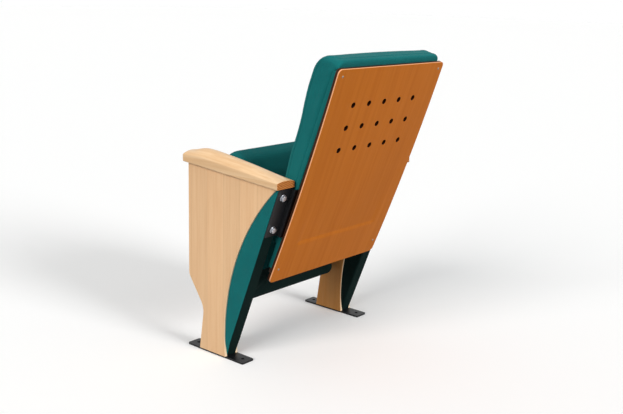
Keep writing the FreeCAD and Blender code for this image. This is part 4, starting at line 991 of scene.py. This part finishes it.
def panel_solid():
    """Rear and front faces a thickness apart, with walls along every open edge."""
    flat, faces = panel_plan()
    rear = bow(flat[:, 1]) - hollow(flat[:, 0], flat[:, 1])
    front = bow(flat[:, 1]) - PANEL_THICK
    points = np.vstack([on_back(flat[:, 0], rear, flat[:, 1]),
                        on_back(flat[:, 0], front, flat[:, 1])])
    count = len(flat)
    sides = {}
    for face in faces:
        for first, second in zip(face, face[1:] + face[:1]):
            sides[(first, second)] = True
    walls = [[second, first, first + count, second + count] for first, second in sides
             if (second, first) not in sides]
    return points, faces + [[i + count for i in face[::-1]] for face in faces] + walls


panel = piece_from("moulded_panel", [panel_solid()], 40)
bevel = panel.modifiers.new("rim", "BEVEL")
bevel.width, bevel.segments = 0.0010, 2
bevel.limit_method, bevel.angle_limit = "ANGLE", math.radians(60)
settle(panel)
dress(panel, "back")
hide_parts("back_panel")
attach(panel, "standards")
print("panel faces:", len(panel.data.polygons))

# %% [markdown]
# ## Bolts, washers and screws
# A bolt's head is a hexagon whose top is turned down to a circle, so its corners fall away.
# The screw heads are low domes with a cross cut into them.

# %% Shapes of the fasteners
BRACKET_LOW, GAUGE, WASHER, BOLT_SPOTS = 0.424, 0.004, 0.002, (0.025, 0.134)
HEAD_FLAT, HEAD_HIGH, WASHER_RADIUS = 0.0085, 0.0064, 0.011


def turned(profile, count=48):
    """Revolve (radius, height) pairs about the axis of the fastener."""
    angles = np.linspace(0, 2 * math.pi, count, endpoint=False)
    profile = np.asarray(profile)
    return np.stack([profile[:, None, 0] * np.cos(angles), profile[:, None, 0] * np.sin(angles),
                     np.broadcast_to(profile[:, None, 1], (len(profile), count))], -1)


def hexagon_head():
    """Rings of a head: radius to the flats over cos of the angle, chamfer of 30 degrees."""
    angles = np.linspace(0, 2 * math.pi, 72, endpoint=False)
    wave = (angles + math.pi / 6) % (math.pi / 3) - math.pi / 6
    outline = HEAD_FLAT / np.cos(wave)
    crown = HEAD_FLAT * 0.94
    drop = (outline - crown) * math.tan(math.radians(30))
    rings = []
    for radius, high in ((outline, np.zeros(72)), (outline, HEAD_HIGH - drop),
                         (np.full(72, crown), np.full(72, HEAD_HIGH)),
                         (np.full(72, crown * 0.5), np.full(72, HEAD_HIGH))):
        rings.append(np.stack([radius * np.cos(angles), radius * np.sin(angles), high], -1))
    return stack(np.array(rings))


def screw_head(radius, high):
    """Dome z = h (1 - (r / R)^4), lowered to 0.35 h in a cross where |x| or |y| is small."""
    reach = np.linspace(0, 1, 16)[1:, None]
    angles = np.linspace(0, 2 * math.pi, 48, endpoint=False)[None, :]
    x, y = reach * np.cos(angles), reach * np.sin(angles)
    dome = high * (1 - reach ** 4) * np.ones_like(angles)
    cut = (np.minimum(np.abs(x), np.abs(y)) < 0.11) & (reach < 0.62)
    z = np.where(cut, 0.35 * high, dome)
    foot = np.stack([x[-1], y[-1], np.zeros(48)], -1) * [radius, radius, 1]
    rings = np.stack([x * radius, y * radius, z], -1)[::-1]
    return stack(np.concatenate([foot[None], rings]))


def set_along(part, spot, axis, spin=0.0):
    """Turn a part's own Z to an axis and move it to its spot."""
    points, faces = part
    turn = Vector(axis).to_track_quat("Z", "Y").to_matrix() @ Matrix.Rotation(spin, 3, "Z")
    return np.asarray(points) @ np.array(turn).T + np.asarray(spot), faces


print("fastener shapes ready")

# %% Set the fasteners
rearward = np.array([0, math.cos(LEAN), -math.sin(LEAN)])
washer_ring = [(0.0056, 0), (WASHER_RADIUS - 0.0004, 0), (WASHER_RADIUS, 0.0004),
               (WASHER_RADIUS, WASHER - 0.0004), (WASHER_RADIUS - 0.0004, WASHER), (0.0056, WASHER)]
bolts, washers = [], []
for name, side in SIDES:
    for index, up in enumerate(BOLT_SPOTS):
        foot = np.array([side * HALF_PITCH, rear_line(BRACKET_LOW) + up * math.sin(LEAN),
                         BRACKET_LOW + up * math.cos(LEAN)])
        washers.append(set_along(stack(turned(washer_ring)), foot + GAUGE * rearward, rearward))
        bolts.append(set_along(hexagon_head(), foot + (GAUGE + WASHER) * rearward, rearward,
                               0.4 + index))
bolt_heads = piece_from("bolt_heads", bolts, 20)
bolt_washers = piece_from("bolt_washers", washers, 30)
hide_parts("bracket_bolts")
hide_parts("bracket_washers")

SCREW_RADIUS = 0.0038
screws = []
for side in (-1, 1):
    for up in (0.048, PANEL_HIGH - 0.021):
        spot = on_back(side * (PANEL_HALF - 0.022), bow(up) + 0.0002, up)
        screws.append(set_along(screw_head(SCREW_RADIUS, 0.0017), spot, rearward, 0.5 + up))
panel_screws = piece_from("panel_screws", screws, 30)
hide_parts("back_panel_screws")
for piece, finish in ((bolt_heads, "zinc"), (bolt_washers, "zinc"), (panel_screws, "dull_zinc")):
    dress(piece, finish)
    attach(piece, "standards")
print("bolts:", len(bolts), "screws:", len(screws))

# %% [markdown]
# ## The studio
# A white floor, and a white background for the camera and for reflections. One soft far light
# shines from the sitter's left and one from behind. The world is dimmer towards the ground and
# the floor throws no light back, so that undersides stay dark as they do in a large room.

# %% Floor
floor_half = 40.0
floor_mesh = bpy.data.meshes.new("studio_floor")
floor_mesh.from_pydata([(-floor_half, -floor_half, 0), (floor_half, -floor_half, 0),
                        (floor_half, floor_half, 0), (-floor_half, floor_half, 0)],
                       [], [(0, 1, 2, 3)])
floor = link("studio_floor", floor_mesh)
paint = Finish("studio_floor", 0.9, specular=0.1)
floor_mesh.materials.append(paint.done((1.0, 1.0, 1.0, 1)))
floor.visible_diffuse = False
print("floor reaches %.0f m" % floor_half)

# %% World
world = bpy.data.worlds.new("studio")
bpy.context.scene.world = world
world.use_nodes = True
nodes, links = world.node_tree.nodes, world.node_tree.links
nodes.clear()
ray = nodes.new("ShaderNodeLightPath")
seen, glow = nodes.new("ShaderNodeBackground"), nodes.new("ShaderNodeBackground")
seen.inputs["Color"].default_value = (1, 1, 1, 1)
seen.inputs["Strength"].default_value = 1.0
glow.inputs["Color"].default_value = (0.97, 0.99, 1, 1)
way = nodes.new("ShaderNodeTexCoord")
split = nodes.new("ShaderNodeSeparateXYZ")
dusk = nodes.new("ShaderNodeMapRange")
for number, value in ((1, -0.25), (2, 0.35), (3, 0.10), (4, 0.42)):
    dusk.inputs[number].default_value = value
links.new(way.outputs["Generated"], split.inputs[0])
links.new(split.outputs["Z"], dusk.inputs[0])
links.new(dusk.outputs[0], glow.inputs["Strength"])
blend = nodes.new("ShaderNodeMixShader")
output = nodes.new("ShaderNodeOutputWorld")
direct = nodes.new("ShaderNodeMath")
direct.operation = "MAXIMUM"
links.new(ray.outputs["Is Camera Ray"], direct.inputs[0])
links.new(ray.outputs["Is Glossy Ray"], direct.inputs[1])
links.new(direct.outputs[0], blend.inputs[0])
links.new(glow.outputs[0], blend.inputs[1])
links.new(seen.outputs[0], blend.inputs[2])
links.new(blend.outputs[0], output.inputs[0])
print("world nodes:", len(nodes))

# %% Lamps


def sun(name, way, strength, spread, colour):
    """A far light that shines from a direction; its spread in degrees softens the shadows."""
    lamp = bpy.data.lights.new(name, "SUN")
    lamp.energy = strength
    lamp.color = colour
    lamp.angle = math.radians(spread)
    item = bpy.data.objects.new(name, lamp)
    bpy.context.scene.collection.objects.link(item)
    aim = Vector(way).to_track_quat("Z", "Y").to_matrix().to_4x4()
    item.matrix_world = Matrix.Translation(3 * Vector(way)) @ aim


sun("key", (0.88, 0.06, 0.47), 2.30, 35, (1.0, 0.985, 0.96))
sun("back", (0.0, 0.92, 0.39), 2.0, 20, (1.0, 1.0, 1.0))
print("lamps:", len(bpy.data.lights))

# %% Camera
CAMERA = (2.1728, 1.9501, 1.1293)
forward = Vector((-0.7440, -0.6263, -0.2328)).normalized()
right = Vector((-0.6484, 0.7609, 0.0251))
right = (right - right.dot(forward) * forward).normalized()
above = right.cross(forward)
camera_data = bpy.data.cameras.new("camera")
camera_data.sensor_width = 36.0
camera_data.lens = 52.14
camera = bpy.data.objects.new("camera", camera_data)
bpy.context.scene.collection.objects.link(camera)
turn = Matrix((right, above, -forward)).transposed().to_4x4()
camera.matrix_world = Matrix.Translation(CAMERA) @ turn
bpy.context.scene.camera = camera
bpy.context.scene.view_settings.view_transform = "Standard"
print("camera lens %.2f mm" % camera_data.lens)
